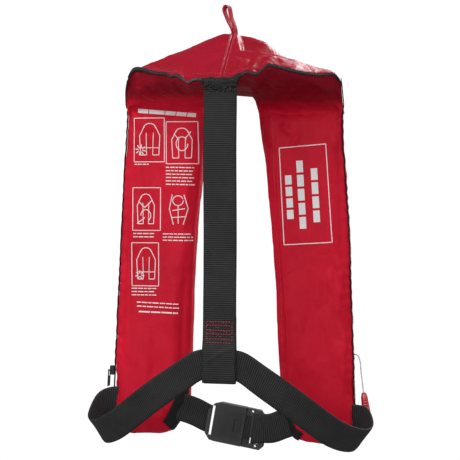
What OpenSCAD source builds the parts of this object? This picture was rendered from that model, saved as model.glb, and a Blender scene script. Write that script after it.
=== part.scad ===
// Inflatable life jacket, packed: two hanging lobes joined by a collar behind
// the neck, a back strap from the collar down to the waist belt, and a
// side-release buckle between the lobes. The pack holds one folded bladder,
// a gas inflator with its hand lever and toggle, and an oral tube.
// +X wearer's right, +Y wearer's front, +Z up. Origin: on the mid-plane, level
// with the neck edge that carries the hanging loop, over the collar's middle.

/* [Lobes] */
// Depth of the top edge of each lobe, below the neck point
lobe_top = 92; // [88:1:98]
// Distance from the mid-plane to the outer edge at the lobe top
outer_top = 147; // [143:1:151]
// Distance from the mid-plane to the outer edge at the lobe foot
outer_low = 165; // [161:1:169]
// Distance from the mid-plane to the inner edge at the lobe top
inner_top = 42; // [38:1:44]
// Depth of the lobe foot, below the neck point
lobe_foot = 539; // [533:1:545]
// Nearest plane of the body-side panel, in front of the neck point
panel_y = 40; // [38:0.5:41]
// Farthest plane of the front cover
front_y = 84.5; // [84:0.5:90]
// Thickness of the coated cover fabric with its lining
cloth = 2.5; // [1.5:0.5:2.5]

/* [Hanging loop] */
// Distance of the loop's middle in front of the origin
neck_y = 35; // [34:0.5:36]

/* [Harness] */
// Width of the back strap webbing
strap_w = 44; // [40:1:46]
// Width of the waist belt webbing
belt_w = 39; // [36:1:39]
// Thickness of the waist belt webbing
web_t = 2.0; // [1.4:0.1:2.2]
// Depth of the strap's top seam at the collar rim, below the neck point
strap_top = 65.5; // [65:0.5:68]
// Depth of the middle of the belt in the strap's foot loop, below the neck point
belt_z = 420.5; // [419.5:0.5:421.5]

/* [Buckle] */
// Width of the closed buckle
buckle_w = 76; // [74:1:78]
// Height of the buckle
buckle_h = 53; // [52:1:54]
// Thickness of the buckle
buckle_t = 12; // [12:0.5:13]
// Slope of the buckle, down towards the wearer's right
buckle_tilt = 9.5; // [8:0.5:11]

/* [Inflator] */
// Distance from the mid-plane to the inflator's axis
infl_x = 118; // [117:0.5:118.5]
// Distance of the inflator and oral tube axes in front of the origin
infl_y = 65; // [64.5:0.5:65.5]
// Radius of the gas cylinder
gas_r = 14; // [12.5:0.5:14]

/* [Oral tube] */
// Distance from the mid-plane to the oral tube's axis
oral_x = 138; // [137:0.5:139]
// Outer radius of the oral tube
oral_r = 6.5; // [5.5:0.5:6.5]

/* [Hidden] */
fn_round = 48;
fn_gas = 64;
red = [0.72, 0.08, 0.14];
dark = [0.10, 0.10, 0.11];
zip_grey = [0.25, 0.25, 0.27];
spring_grey = [0.7, 0.7, 0.72];
pin_grey = [0.75, 0.75, 0.77];
inflator_yellow = [0.93, 0.8, 0.1];

// ---------- points and outlines ----------
function unit(v) = v / norm(v);

// corner of a counterclockwise outline, moved inwards
function inset_corner(before, corner, after, depth) =
  let (u = unit(corner - before), v = unit(after - corner),
    normal_in = [-u[1], u[0]], normal_out = [-v[1], v[0]])
  corner + (normal_in + normal_out) * depth / (1 + normal_in * normal_out);
function inset(outline, depth) = let (n = len(outline))
  [for (i = [0:n - 1])
    inset_corner(outline[(i + n - 1) % n], outline[i], outline[(i + 1) % n], depth)];

// Catmull-Rom curve through key points, in so many steps per span
function curve_point(a, b, c, d, t) = 0.5 * ((2 * b) + (c - a) * t
  + (2 * a - 5 * b + 4 * c - d) * t * t + (3 * b - a - 3 * c + d) * t * t * t);
function smooth(keys, steps) = let (n = len(keys))
  [for (i = [0:n - 2]) for (k = [0:steps - 1])
    curve_point(keys[max(i - 1, 0)], keys[i], keys[i + 1], keys[min(i + 2, n - 1)], k / steps),
   keys[n - 1]];
// direction of a path at one of its points
function tangent(path, i) = unit(path[min(i + 1, len(path) - 1)] - path[max(i - 1, 0)]);

// ---------- solids ----------
// a flat XZ outline given a thickness from y0 to y1
module slab(y0, y1)
  translate([0, y1, 0]) rotate([90, 0, 0]) linear_extrude(height = y1 - y0) children();
// a flat YZ outline given a width from x0 to x1
module slab_x(x0, x1)
  translate([x0, 0, 0]) rotate([90, 0, 90]) linear_extrude(height = x1 - x0) children();
// a block between two opposite corners
module box(low, high) translate(low) cube(high - low);
// round bars along each axis; the one along Y is centred on y
module rod_x(r, h, x = 0, z = 0, center = false)
  translate([x, 0, z]) rotate([0, 90, 0]) cylinder(r = r, h = h, center = center, $fn = fn_round);
module rod_y(r, h, x = 0, z = 0, y = 0)
  translate([x, y, z]) rotate([90, 0, 0]) cylinder(r = r, h = h, center = true, $fn = fn_round);
module rod_z(r, h, z) translate([0, 0, z]) cylinder(r = r, h = h, $fn = fn_round);
// upright rods spaced evenly round the Z axis
module rod_ring(count, ring_r, r, h, z)
  for (i = [0:count - 1]) rotate([0, 0, 360 * i / count]) translate([ring_r, 0, 0]) rod_z(r, h, z);

// skin through a list of closed sections; flip turns the faces over
module skin(sections, flip = false) {
  k = len(sections[0]);
  n = len(sections);
  points = [for (section = sections) for (p = section) p];
  side = [for (i = [0:n - 2]) for (j = [0:k - 1]) for (t = [0, 1])
    let (a = i * k + j, b = i * k + (j + 1) % k, c = (i + 1) * k + (j + 1) % k, d = (i + 1) * k + j)
    t == 0 ? [a, b, c] : [a, c, d]];
  caps = [[for (j = [k - 1:-1:0]) j], [for (j = [0:k - 1]) (n - 1) * k + j]];
  faces = concat(side, caps);
  flipped = [for (face = faces) [for (i = [len(face) - 1:-1:0]) face[i]]];
  polyhedron(points = points, faces = flip ? flipped : faces, convexity = 8);
}
// flat webbing along a path, its width direction given at each point
module ribbon(path, across, width, thick)
  skin([for (i = [0:len(path) - 1])
    let (along = tangent(path, i), side = unit(across[i]), normal = cross(along, side),
      lean = norm(normal), up = normal / lean * thick / 2, half = side * width / 2 / lean)
    [path[i] + half + up, path[i] - half + up, path[i] - half - up, path[i] + half - up]], true);
// ten-sided cord along a path
module rope(path, r)
  skin([for (i = [0:len(path) - 1])
    let (along = tangent(path, i),
      side = unit(cross(along, abs(along[1]) < 0.8 ? [0, 1, 0] : [1, 0, 0])),
      up = cross(along, side))
    [for (j = [0:9]) path[i] + r * (side * cos(36 * j) + up * sin(36 * j))]], true);
// helical spring about Z, of six-sided wire
module coil(r, wire, z0, z1, turns) {
  steps = turns * 14;
  skin([for (i = [0:steps])
    let (turn = 360 * turns * i / steps, z = z0 + wire + (z1 - z0 - 2 * wire) * i / steps)
    [for (j = [0:5]) let (reach = r + wire * cos(60 * j))
      [reach * cos(turn), reach * sin(turn), z + wire * sin(60 * j)]]]);
}

// ---------- lobes ----------
// outline of the right lobe, [x, z], counterclockwise from its inner top corner
lobe = [[inner_top, -lobe_top], [45, -181], [51, -254], [56, -340], [58, -440], [60, -488],
  [78, -lobe_foot + 10], [95, -lobe_foot + 2], [140, -lobe_foot],
  [outer_low - 7, -lobe_foot + 7], [outer_low, -lobe_foot + 20], [outer_low, -490],
  [outer_top, -lobe_top]];
wall_y = panel_y + 9.5;          // front edge of the body-side wall, under the zip
// limits of the cutting blocks, clear of the lobe
clear_x = 200;
clear_y = 100;
clear_z = -600;

// hollow wall round the lobe between two planes; children are cut away
module lobe_wall(span, hollow) difference() {
  slab(span[0], span[1]) polygon(lobe);
  slab(hollow[0], hollow[1]) polygon(inset(lobe, cloth));
  children();
}
// cut that opens a wall along the lobe top
module open_top(y0) box([0, y0, -lobe_top - cloth - 0.5], [clear_x, clear_y, 0]);

module body_panel() {
  slot_y0 = panel_y + cloth + 0.3;
  slot_y1 = wall_y + 1;
  difference() {
    union() {
      slab(panel_y, panel_y + cloth) polygon(lobe);
      lobe_wall([panel_y + cloth, wall_y], [panel_y, wall_y + 1]) open_top(panel_y);
      // taller wall along the inner edge only
      lobe_wall([wall_y, front_y - 3.5], [wall_y - 1, front_y]) {
        box([72, panel_y, clear_z], [clear_x, clear_y, 0]);
        open_top(panel_y);
        box([0, panel_y, clear_z], [clear_x, clear_y, -478]);
      }
    }
    // slots where the waist belt threads in and out
    box([outer_top - 5, slot_y0, -526], [clear_x, slot_y1, -462]);
    box([20, slot_y0, -545], [88, slot_y1, -468]);
    box([80, slot_y0, -545], [122, slot_y1, -525]);
  }
}
module cover_flap(cord_gap) difference() {
  union() {
    slab(front_y - cloth, front_y) polygon(lobe);
    lobe_wall([wall_y + 6, front_y - cloth], [wall_y, front_y]) {
      open_top(0);
      box([0, 0, clear_z], [100, clear_y, 0]);
    }
  }
  if (cord_gap) box([outer_top, 0, -446], [clear_x, front_y - cloth - 6, -404]);
}
// zip chain along the outer edge, between the wall and the cover
module zip_side() color(dark) difference() {
  slab(wall_y + 0.6, wall_y + 4.6) polygon(inset(lobe, -2.2));
  slab(wall_y, wall_y + 6) polygon(inset(lobe, -0.3));
  box([0, 0, clear_z], [134, clear_y, 0]);
  box([0, 0, -lobe_top - 2], [250, clear_y, 0]);
}
module inner_panel_right() color(red) body_panel();
module inner_panel_left() color(red) mirror([1, 0, 0]) body_panel();
module front_cover_right() color(red) cover_flap(true);
module front_cover_left() color(red) mirror([1, 0, 0]) cover_flap(false);
module zip_chain_right() zip_side();
module zip_chain_left() mirror([1, 0, 0]) zip_side();
module reflective_patches() color([0.85, 0.86, 0.88])
  for (side = [1, -1]) slab(front_y - 6.2, front_y - 5.7)
    polygon([[side * 58, -150], [side * 92, -150], [side * 92, -200], [side * 58, -200]]);

// ---------- collar ----------
// one row per station: distance from the mid-plane, then the (y, z) of 1 the zip
// rim, 2 the raised ridge, 3 the neck edge, 4 the front shoulder, 5 the front
// hem, 6 the underside's middle and 7 its hem
collar_half = [
  [0,   [-62, -56], [-12, -24], [35, 3.5], [43, -26], [42, -70],   [-14, -67], [36, -76]],
  [22,  [-61, -54], [-12, -24], [36, 2],   [43, -27], [42, -70],   [-13, -67], [36, -77]],
  [40,  [-58, -48], [-11, -27], [37, -5],  [44, -32], [45, -72],   [-11, -68], [36, -79]],
  [52,  [-55, -46], [-10, -29], [38, -12], [50, -39], [68, -80],   [-8, -70],  [37, -86]],
  [66,  [-50, -46], [-8, -31],  [39, -20], [58, -46], [84, -90],   [-6, -72],  [40.6, -91]],
  [97,  [-36, -48], [0, -38],   [40, -32], [64, -53], [84.4, -90], [0, -74],   [40.6, -91]],
  [130, [-10, -48], [12, -44],  [42, -42], [67, -60], [84.4, -90], [14, -76],  [40.6, -91]],
  [143, [8, -54],   [18, -52],  [44, -56], [69, -68], [84.4, -90], [22, -78],  [40.6, -91]]];
collar = concat(
  [for (i = [len(collar_half) - 1:-1:1])
    concat([-collar_half[i][0]], [for (j = [1:7]) collar_half[i][j]])],
  collar_half);

// closed section at x, out along one line of (y, z) points and back along the other
function section(x, line, back) = concat([for (p = line) [x, p[0], p[1]]],
  [for (i = [len(back) - 1:-1:0]) [x, back[i][0], back[i][1]]]);
// the top sheet is thickened towards the middle of the section
function top_section(row) =
  let (middle = (row[1] + row[3] + row[5] + row[7]) / 4, line = [for (j = [1:5]) row[j]])
  section(row[0], line, [for (p = line) p + cloth * unit(middle - p)]);
// the underside is a sheet of even thickness above the line rim, middle, hem
function under_section(row) = let (line = [row[1] + [0.5, -7], row[6], row[7]])
  section(row[0], line,
    [for (j = [0:2]) let (along = tangent(line, j)) line[j] + cloth * [-along[1], along[0]]]);
function zip_section(row) = let (p = row[1] + [-2.5, -3.6])
  [for (d = [[-1.8, -1.3], [1.6, -1.3], [1.6, 1.5], [-1.8, 1.5]]) [row[0], p[0] + d[0], p[1] + d[1]]];
// the collar's own section, drawn in about its mean point
roll_scale = 0.68;
function roll_section(row) =
  let (mean = (row[1] + row[2] + row[3] + row[4] + row[5] + row[6] + row[7]) / 7)
  [for (j = [1, 2, 3, 4, 5, 7, 6]) let (p = mean + (row[j] - mean) * roll_scale)
    [row[0] * 0.965, p[0], p[1]]];

module collar_top_cover() color(red) skin([for (row = collar) top_section(row)]);
module collar_under_cover() color([0.45, 0.02, 0.06])
  skin([for (row = collar) under_section(row)], true);
module zip_chain_collar() color(dark) skin([for (row = collar) zip_section(row)], true);

// ---------- bladder ----------
// fold that fills a lobe; children are cut away
module lobe_fold() difference() {
  slab(wall_y + 4, front_y - 6.5) polygon(inset(lobe, 6));
  children();
}
// a roll in the collar and a fold in each lobe, one piece
module air_bladder() color([0.93, 0.76, 0.05]) {
  // room for the inflator
  lobe_fold() box([90, 0, -600], [200, 200, -286]);
  // room for the oral tube and whistle
  mirror([1, 0, 0]) lobe_fold() {
    box([118, 0, -396], [200, 200, -130]);
    box([98, 0, -216], [200, 200, -130]);
  }
  // necks between the roll and the folds
  for (side = [1, -1]) box([side * 97 - 24, 54, -102], [side * 97 + 24, 70, -76]);
  skin([for (row = collar) roll_section(row)]);
}

// ---------- zip slider, on the left lobe's outer edge ----------
zip_slope = (outer_low - outer_top) / (490 - lobe_top);
slider_z = -448;
hinge_x = -4.6;                  // pull tab's hinge, outwards of the zip edge
module at_slider()
  translate([-(outer_top + (-slider_z - lobe_top) * zip_slope), wall_y + 2.6, slider_z])
  rotate([0, atan(zip_slope), 0]) children();
module zip_slider() color(zip_grey) at_slider() difference() {
  box([-6.2, -3.6, -6], [-0.15, 3.6, 6]);
  box([-2.8, -2.5, -7], [2, 2.5, 7]);
  rod_y(r = 0.85, h = 9, x = hinge_x);
}
module zip_pull_tab() color(zip_grey) at_slider() {
  rod_y(r = 0.8, h = 10.4, x = hinge_x);
  difference() {
    box([-8.2, -5.4, -22], [-6.9, 5.4, 1.2]);
    rod_x(r = 2.6, h = 6, x = -10, z = -17);
    box([-9, -3.9, -8.5], [-6, 3.9, 2]);
  }
  for (side = [1, -1]) translate([0, side * 4.7, 0]) box([-8, -0.6, -1], [-3.8, 0.6, 1]);
}

// ---------- hanging loop ----------
// outer and inner outlines, [x, z]
loop_outer = [[-2.2, 9], [-7, 21], [-13.4, 35], [-15.2, 40.5], [-13.4, 44], [-9, 44.5],
  [-5, 42.5], [-2.6, 36], [1.8, 22], [4.5, 9], [1.2, 6.6]];
loop_inner = [[-5.4, 20.5], [-11.4, 34.5], [-13, 39.8], [-12.2, 42], [-9.2, 42.3],
  [-6.5, 40.5], [-4.4, 35], [0.7, 18], [0.4, 10.6]];
module hang_loop() color(red) difference() {
  slab(neck_y - 4.5, neck_y + 4.5) polygon(loop_outer);
  slab(neck_y - 5, neck_y + 5) polygon(loop_inner);
}

// ---------- oral inflation, in the wearer's left lobe ----------
branch_z = -297;                 // side branch at the tube's foot
tube_top = -200;
module at_oral() translate([-oral_x, infl_y, 0]) children();
module oral_tube() color([0.9, 0.75, 0.1]) at_oral() difference() {
  union() {
    rod_z(r = oral_r, h = 104, z = tube_top - 104);
    rod_x(r = 5.6, h = 19.4, z = branch_z);
    rod_x(r = 10.5, h = 2.2, x = 17.2, z = branch_z);
  }
  rod_z(r = 4.5, h = 110, z = -300);
  rod_x(r = 3.4, h = 30, z = branch_z);
}
module oral_valve_body() color(dark) at_oral() difference() {
  rod_z(r = 9, h = 28, z = tube_top - 10);
  rod_z(r = oral_r, h = 11, z = tube_top - 11);
  rod_z(r = 5, h = 20, z = -198);
  // poppet stem's hole and the air holes round it
  rod_z(r = 1.3, h = 4, z = -201);
  rod_ring(count = 4, ring_r = 3.2, r = 1.1, h = 4, z = -201);
}
module oral_valve_poppet() color([0.85, 0.85, 0.86]) at_oral() {
  rod_z(r = 1.22, h = 18, z = -203);
  rod_z(r = 4.6, h = 2.4, z = -186);
}
module oral_valve_spring() color(spring_grey) at_oral()
  coil(r = 2.9, wire = 0.45, z0 = -197.4, z1 = -186.6, turns = 6);
module oral_dust_cap() color(dark) at_oral() {
  difference() {
    rod_z(r = 10.2, h = 15.2, z = -194);
    rod_z(r = 9.2, h = 14.2, z = -195);
    // skirt cut away on both sides, leaving a strip
    box([-2, -20, -200], [20, 20, -181.6]);
    box([-20, -20, -200], [-5, 20, -182.2]);
  }
  box([9, -4, -180.8], [15, 4, -178.8]);
}

// ---------- whistle ----------
whistle_x = 136;
mouth_z = -344;                  // round head of the whistle
eye_z = -332;
cord_loop_r = oral_r + 1.4;      // cord's turn round the oral tube
module whistle() color([0.95, 0.5, 0.05]) translate([-whistle_x, infl_y, 0]) difference() {
  union() {
    box([-4.5, -7, -372], [4.5, 7, mouth_z]);
    rod_x(r = 7, h = 9, z = mouth_z, center = true);
    rod_x(r = 4.2, h = 3.4, z = eye_z, center = true);
    box([-1.7, -3, -340], [1.7, 3, eye_z]);
  }
  rod_x(r = 2, h = 12, z = eye_z, center = true);
  box([-2.6, -5.4, -380], [2.6, 5.4, -347]);
  box([1, -4, -357], [6, 4, -352]);
}
function round_tube(angle, z) =
  [-oral_x + cord_loop_r * cos(angle), infl_y + cord_loop_r * sin(angle), z];
module whistle_cord() color([0.93, 0.93, 0.9])
  rope(concat([for (a = [-20:20:320]) round_tube(a, -279 - 4 * (a + 20) / 340)],
    smooth([round_tube(338, -286), [-127, infl_y - 8, -292], [-126, infl_y - 8.5, -300],
      [-127, infl_y - 4, -311], [-128.5, infl_y, -322], [-130.5, infl_y, -328],
      [-whistle_x + 3, infl_y, -331.6], [-whistle_x - 3, infl_y, eye_z]], 4)), 0.9);

// ---------- gas inflator, in the wearer's right lobe ----------
fit = 0.05;                      // radial play between parts that fit together
stem_z = -447;
stem_r = 5.5;
gas_port_r = 2.2;
pivot_x = 17.5;
pivot_z = -458;
pivot_r = 1.5;
spigot_r = 8;                    // sensor cap's spigot, in the body's foot
gas_neck_r = 5.95;
gas_shoulder_z = -316;           // where the cylinder's round top end starts
module at_infl() translate([infl_x, infl_y, 0]) children();
module manifold_stem() color([0.15, 0.15, 0.16]) at_infl() difference() {
  union() {
    rod_x(r = 12, h = 2.6, x = -27.6, z = stem_z);
    rod_x(r = stem_r, h = 19, x = -25.2, z = stem_z);
  }
  rod_x(r = gas_port_r, h = 30, x = -30, z = stem_z);
}
module manifold_nut() color([0.55, 0.56, 0.58])
  at_infl() translate([-19.6, 0, stem_z]) rotate([0, 90, 0]) difference() {
    cylinder(r = 10.6, h = 4.8, $fn = 6);
    rod_z(r = stem_r + fit, h = 7, z = -1);
  }
module inflator_body() color(inflator_yellow) at_infl() difference() {
  union() {
    box([-14, -12, -470], [14, 12, -428]);
    rod_z(r = 11, h = 7, z = -430);
    // ears for the lever pin
    for (side = [1, -1]) {
      box([13, side * 6 - 2, -463], [pivot_x, side * 6 + 2, -453]);
      rod_y(r = 4, h = 4, x = pivot_x, z = pivot_z, y = side * 6);
    }
  }
  // upright bores for the cylinder neck, the piercing pin and the sensor cap
  rod_z(r = gas_neck_r + fit, h = 20, z = -437);
  rod_z(r = 4.7, h = 32, z = -466);
  rod_z(r = spigot_r + fit, h = 8.5, z = -471);
  // bore for the stem and its gas port
  rod_x(r = stem_r + fit, h = 10, x = -15, z = stem_z);
  rod_x(r = gas_port_r, h = 6, x = -6, z = stem_z);
  // lever slot and pin hole
  box([2, -2.6, -463], [25, 2.6, -446]);
  rod_y(r = pivot_r, h = 30, x = pivot_x, z = pivot_z);
}
module lever_pin() color(pin_grey) at_infl() rod_y(r = pivot_r, h = 17, x = pivot_x, z = pivot_z);
module inflator_lever() color([0.8, 0.1, 0.1]) at_infl() difference() {
  union() {
    rod_y(r = 3.2, h = 4.4, x = pivot_x, z = pivot_z);
    box([3.0, -2.2, -461], [pivot_x, 2.2, -457.2]);
    box([15.4, -2.2, -458], [20.6, 2.2, -434]);
    box([15.4, -6, -440], [20.6, 6, -424]);
  }
  rod_y(r = pivot_r + fit, h = 30, x = pivot_x, z = pivot_z);
  rod_x(r = 1.6, h = 20, x = 10, z = -429);
}
// turned parts: half outlines, [radius, z]
module piercing_pin() color(pin_grey) at_infl() rotate_extrude($fn = fn_round)
  polygon([[0, -464], [1.6, -464], [1.6, -456.4], [4.4, -456.4], [4.4, -454], [1.6, -454],
    [1.6, -448.5], [0, -446]]);
module piercing_spring() color(spring_grey) at_infl()
  coil(r = 3.3, wire = 0.5, z0 = -453.8, z1 = -438, turns = 6);
module sensor_cap() color(inflator_yellow) at_infl() difference() {
  union() {
    rod_z(r = 11, h = 21.6, z = -492);
    rod_z(r = spigot_r, h = 6.5, z = -471);
  }
  rod_z(r = 6.2, h = 40, z = -489);
  // grip flutes and holes in the end
  rod_ring(count = 8, ring_r = 11.6, r = 1.3, h = 20, z = -493);
  rod_ring(count = 4, ring_r = 3.4, r = 1.2, h = 6, z = -493);
}
module sensor_bobbin() color([0.95, 0.95, 0.93]) at_infl() rotate_extrude($fn = fn_round)
  polygon([[0, -488.4], [5.8, -488.4], [5.8, -486.4], [3.6, -486.4], [3.6, -479], [5.8, -479],
    [5.8, -477], [0, -477]]);
module gas_cylinder() color([0.45, 0.47, 0.5]) at_infl() union() {
  rotate_extrude($fn = fn_gas)
    polygon([[0, -436.6], [gas_neck_r, -436.6], [gas_neck_r, -419], [gas_r, -408],
      [gas_r, gas_shoulder_z], [0, gas_shoulder_z]]);
  intersection() {
    translate([0, 0, gas_shoulder_z]) sphere(r = gas_r, $fn = fn_gas);
    translate([0, 0, gas_shoulder_z - 1]) cylinder(r = 20, h = 20, $fn = fn_gas);
  }
}

// ---------- pull cord and toggle ----------
pull_y = infl_y - 4;
pull_path = [[157, -420], [165, -418], [170, -428], [172.4, -448], [174.6, -468]];  // [x, z]
// toggle sections: z, then half width along x and along y
toggle_rows = [[-42, 5.2, 3.6], [-36, 6.4, 4.4], [-20, 5.6, 4], [-6, 4.4, 3.4], [0, 3, 2.4]];
module pull_cord() color([0.92, 0.92, 0.9])
  rope(smooth([for (p = pull_path) [p[0], pull_y, p[1]]], 4), 0.9);
module pull_toggle() color([0.85, 0.05, 0.08])
  translate([175, pull_y, -469]) rotate([0, -8, 0]) difference() {
    skin([for (row = toggle_rows)
      [for (a = [0:30:330]) [row[1] * cos(a), row[2] * sin(a), row[0]]]], true);
    translate([0, 0, -5]) cylinder(r = 1.0, h = 10, $fn = 24);
  }

// ---------- harness ----------
// side view of the back strap with its foot loop, and the loop's opening, [y, z]
strap_outline = [[-63.1, -strap_top], [-60.9, -strap_top], [-60.9, -360], [-58.6, -362],
  [-58.6, -391], [-56.8, -399], [-56.8, -440], [-60, -445.5], [-64.5, -445.5], [-67.6, -440],
  [-67.6, -399], [-63.1, -389]];
strap_opening = [[-62.5, -395], [-61.3, -395], [-59.2, -399.5], [-59.2, -439.5], [-61, -442.5],
  [-63.4, -442.5], [-65.2, -439.5], [-65.2, -399.5]];
back_y = -62.2;                  // middle of the belt's thickness at the back
module back_strap() color(dark) slab_x(-strap_w / 2, strap_w / 2) difference() {
  polygon(strap_outline);
  polygon(strap_opening);
}
// six rows of nine stitches on the strap's rear face
module strap_stitching() color([0.75, 0.08, 0.14])
  for (row = [0:5]) for (k = [0:8])
    translate([-14.4 + 3.6 * k, -63.3, -363.5 - 4.9 * row]) rotate([0, 90, 0])
      cylinder(r = 0.55, h = 2.0, center = true, $fn = 13);
module waist_belt_back() color(dark)
  box([-21.4, back_y - web_t / 2, -belt_z - belt_w / 2], [21.4, back_y + web_t / 2, -belt_z + belt_w / 2]);

// belt path on the wearer's right; rise lifts the stretch inside the lobe
function belt_path(rise) = [[22.6, back_y, -421.3], [44, -60.8, -433.6], [78, -55, -458],
  [124, -38, -494.5], [158, -14, -517.5], [178, 10, -520], [179.5, 28, -510 + rise * 0.4],
  [175, 39, -503 + rise * 0.7], [167.5, panel_y + 4.6, -502 + rise * 0.9],
  [150, panel_y + 5, -502 + rise], [116, panel_y + 5, -504 + rise], [90, panel_y + 5, -506 + rise]];
// width direction of the belt at each point of its path
belt_across = [[0, 0, 1], [0.35, 0, 0.92], [0.5, 0, 0.86], [0.55, 0, 0.83], [0.6, 0, 0.8],
  [0.58, 0, 0.82], [0.4, 0, 0.92], [0.2, 0, 0.98], [0.08, 0, 1], [0, 0, 1], [0, 0, 1], [0, 0, 1]];
module side_belt(rise) ribbon(smooth(belt_path(rise), 4), smooth(belt_across, 4), belt_w, web_t);
module waist_belt_right() color(dark) side_belt(0);
module waist_belt_left() color(dark) mirror([1, 0, 0]) side_belt(14);

// ---------- buckle ----------
buckle_y = panel_y + 8;
half_w = buckle_w / 2;
half_h = buckle_h / 2;
half_t = buckle_t / 2;
half_belt = belt_w / 2;
button_x = -6;
module at_buckle() translate([4, buckle_y, -516]) rotate([0, buckle_tilt, 0]) children();
// the button and its spring face the wearer's front
module at_button() at_buckle() translate([button_x, 0, 0]) rotate([-90, 0, 0]) children();
module belt_end_left() color(dark)
  ribbon([[-88, panel_y + 5, -490.5], [-66, panel_y + 5.6, -495], [-46, panel_y + 7.2, -502],
      [-29.6, buckle_y, -509.6]],
    [[0.1, 0, 1], [0.25, 0, 1], [0.36, 0, 1], [0.38, 0, 1]], belt_w, web_t);
module belt_end_right() color(dark)
  ribbon([[36.2, buckle_y, -521.2], [43, buckle_y, -521.6], [52, buckle_y, -519.5],
      [66, buckle_y, -514], [84, buckle_y, -507]],
    [[0.12, 0, 1], [0, 0, 1], [-0.2, 0, 1], [-0.24, 0, 1], [-0.24, 0, 1]], belt_w, web_t);
module buckle_frame() color(dark) at_buckle() difference() {
  slab(-half_t, half_t) polygon([[-half_w, -half_h + 9], [-half_w + 7, -half_h + 1],
    [-half_w + 14, -half_h], [13, -half_h], [13, half_h], [-half_w + 16, half_h],
    [-half_w + 6, half_h - 4], [-half_w, half_h - 12]]);
  // belt slot and the way in to it
  box([-half_w + 4, -20, -half_belt - 1.6], [-half_w + 8.6, 20, half_belt + 1.6]);
  box([-half_w - 1, -2.4, -half_belt - 2.4], [-half_w + 5, 2.4, half_belt + 2.4]);
  // socket for the tongue, recess in the rear face, hole for the button
  box([-22, -2.1, -17.1], [14, 2.1, 17.1]);
  box([-1, -7, -9], [8, -5, 9]);
  translate([button_x, 3.2, 0]) rotate([-90, 0, 0]) cylinder(r = 8.2, h = 8, $fn = fn_round);
}
module buckle_tongue() color(dark) at_buckle() difference() {
  union() {
    slab(-4.2, 4.2) polygon([[13.5, -half_h], [half_w, -half_h], [half_w + 5, -half_h + 6],
      [half_w, half_h - 6], [half_w - 6, half_h], [13.5, half_h]]);
    box([-20, -1.9, -17], [14, 1.9, 17]);
  }
  rod_y(r = 6.2, h = 10, x = button_x);
  // belt slot and the way in to it
  box([half_w - 8, -20, -half_belt - 0.6], [half_w - 3.6, 20, half_belt + 0.6]);
  box([half_w - 7, -2.4, -half_belt - 2], [half_w + 8, 2.4, half_belt + 2]);
  // round holes, a slit, and three grooves in the rear face
  for (hole = [[21, 22.6], [31.5, -22.8]]) rod_y(r = 1.9, h = 20, x = hole[0], z = hole[1]);
  box([22.6, -20, -21.5], [24.6, 20, -12]);
  for (k = [0:2]) box([15 + 2.6 * k, -half_t, -16], [16.2 + 2.6 * k, -3.4, 16]);
}
module buckle_button() color([0.8, 0.08, 0.1]) at_button() rotate_extrude($fn = fn_round)
  polygon([[0, 7.6], [4.6, 7.6], [4.6, 5.4], [8.1, 5.4], [8.1, 8.6], [7.4, 9.2], [0, 9.2]]);
module buckle_spring() color(spring_grey) at_button()
  coil(r = 3.5, wire = 0.45, z0 = 3.3, z1 = 7.5, turns = 3);

inner_panel_left();
inner_panel_right();
front_cover_left();
front_cover_right();
collar_top_cover();
collar_under_cover();
air_bladder();
reflective_patches();
zip_chain_left();
zip_chain_right();
zip_chain_collar();
zip_slider();
zip_pull_tab();
hang_loop();
oral_tube();
oral_valve_body();
oral_valve_poppet();
oral_valve_spring();
oral_dust_cap();
whistle();
whistle_cord();
manifold_stem();
manifold_nut();
inflator_body();
inflator_lever();
lever_pin();
piercing_pin();
piercing_spring();
sensor_cap();
sensor_bobbin();
gas_cylinder();
pull_cord();
pull_toggle();
back_strap();
strap_stitching();
waist_belt_back();
waist_belt_left();
waist_belt_right();
belt_end_left();
belt_end_right();
buckle_frame();
buckle_tongue();
buckle_button();
buckle_spring();
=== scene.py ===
"""Packed inflatable life jacket: two flat red lobes hang from a collar, with a back strap, a waist
belt, a bladder inside and the inflation parts taken from the CAD frame.

Axes: +X is the wearer's right, +Y points forward from the wearer, +Z is up. The collar's neck edge
is near z = 0 and the lobes hang to z = -539. Geometry is written in millimetres and turned into
metres when a mesh is made; materials, lights and the camera are in metres.
"""
import math

import bmesh
import bpy
import numpy as np
from mathutils import Matrix, Vector, noise
from mathutils.bvhtree import BVHTree


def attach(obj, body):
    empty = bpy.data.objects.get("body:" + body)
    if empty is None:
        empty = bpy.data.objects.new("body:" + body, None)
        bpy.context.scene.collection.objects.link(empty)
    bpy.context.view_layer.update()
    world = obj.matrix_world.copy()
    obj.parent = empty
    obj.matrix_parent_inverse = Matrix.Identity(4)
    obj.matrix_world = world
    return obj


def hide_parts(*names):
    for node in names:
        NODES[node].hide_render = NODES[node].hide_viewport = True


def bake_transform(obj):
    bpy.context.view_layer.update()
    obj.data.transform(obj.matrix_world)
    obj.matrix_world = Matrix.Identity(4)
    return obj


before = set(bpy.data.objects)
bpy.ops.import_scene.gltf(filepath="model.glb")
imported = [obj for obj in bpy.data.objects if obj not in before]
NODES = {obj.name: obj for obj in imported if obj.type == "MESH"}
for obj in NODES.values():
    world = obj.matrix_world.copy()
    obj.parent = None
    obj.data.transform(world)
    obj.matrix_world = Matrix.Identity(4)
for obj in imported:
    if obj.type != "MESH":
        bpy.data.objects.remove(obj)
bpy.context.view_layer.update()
MM = 0.001
SIDES = ((1, "right"), (-1, "left"))  # sign of x on the wearer's right and left
BACKWARD, FORWARD = (0, -1, 0), (0, 1, 0)
scene = bpy.context.scene


# ------------------------------------------------------------------ numbers
def unit(vectors):
    return vectors / (np.linalg.norm(vectors, axis=-1, keepdims=True) + 1e-12)


def running_length(points):
    return np.r_[0, np.cumsum(np.linalg.norm(np.diff(points, axis=0), axis=1))]


def lerp(at, stations, points):
    """points read linearly at new stations, column by column"""
    return np.stack([np.interp(at, stations, column) for column in points.T], -1)


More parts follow.
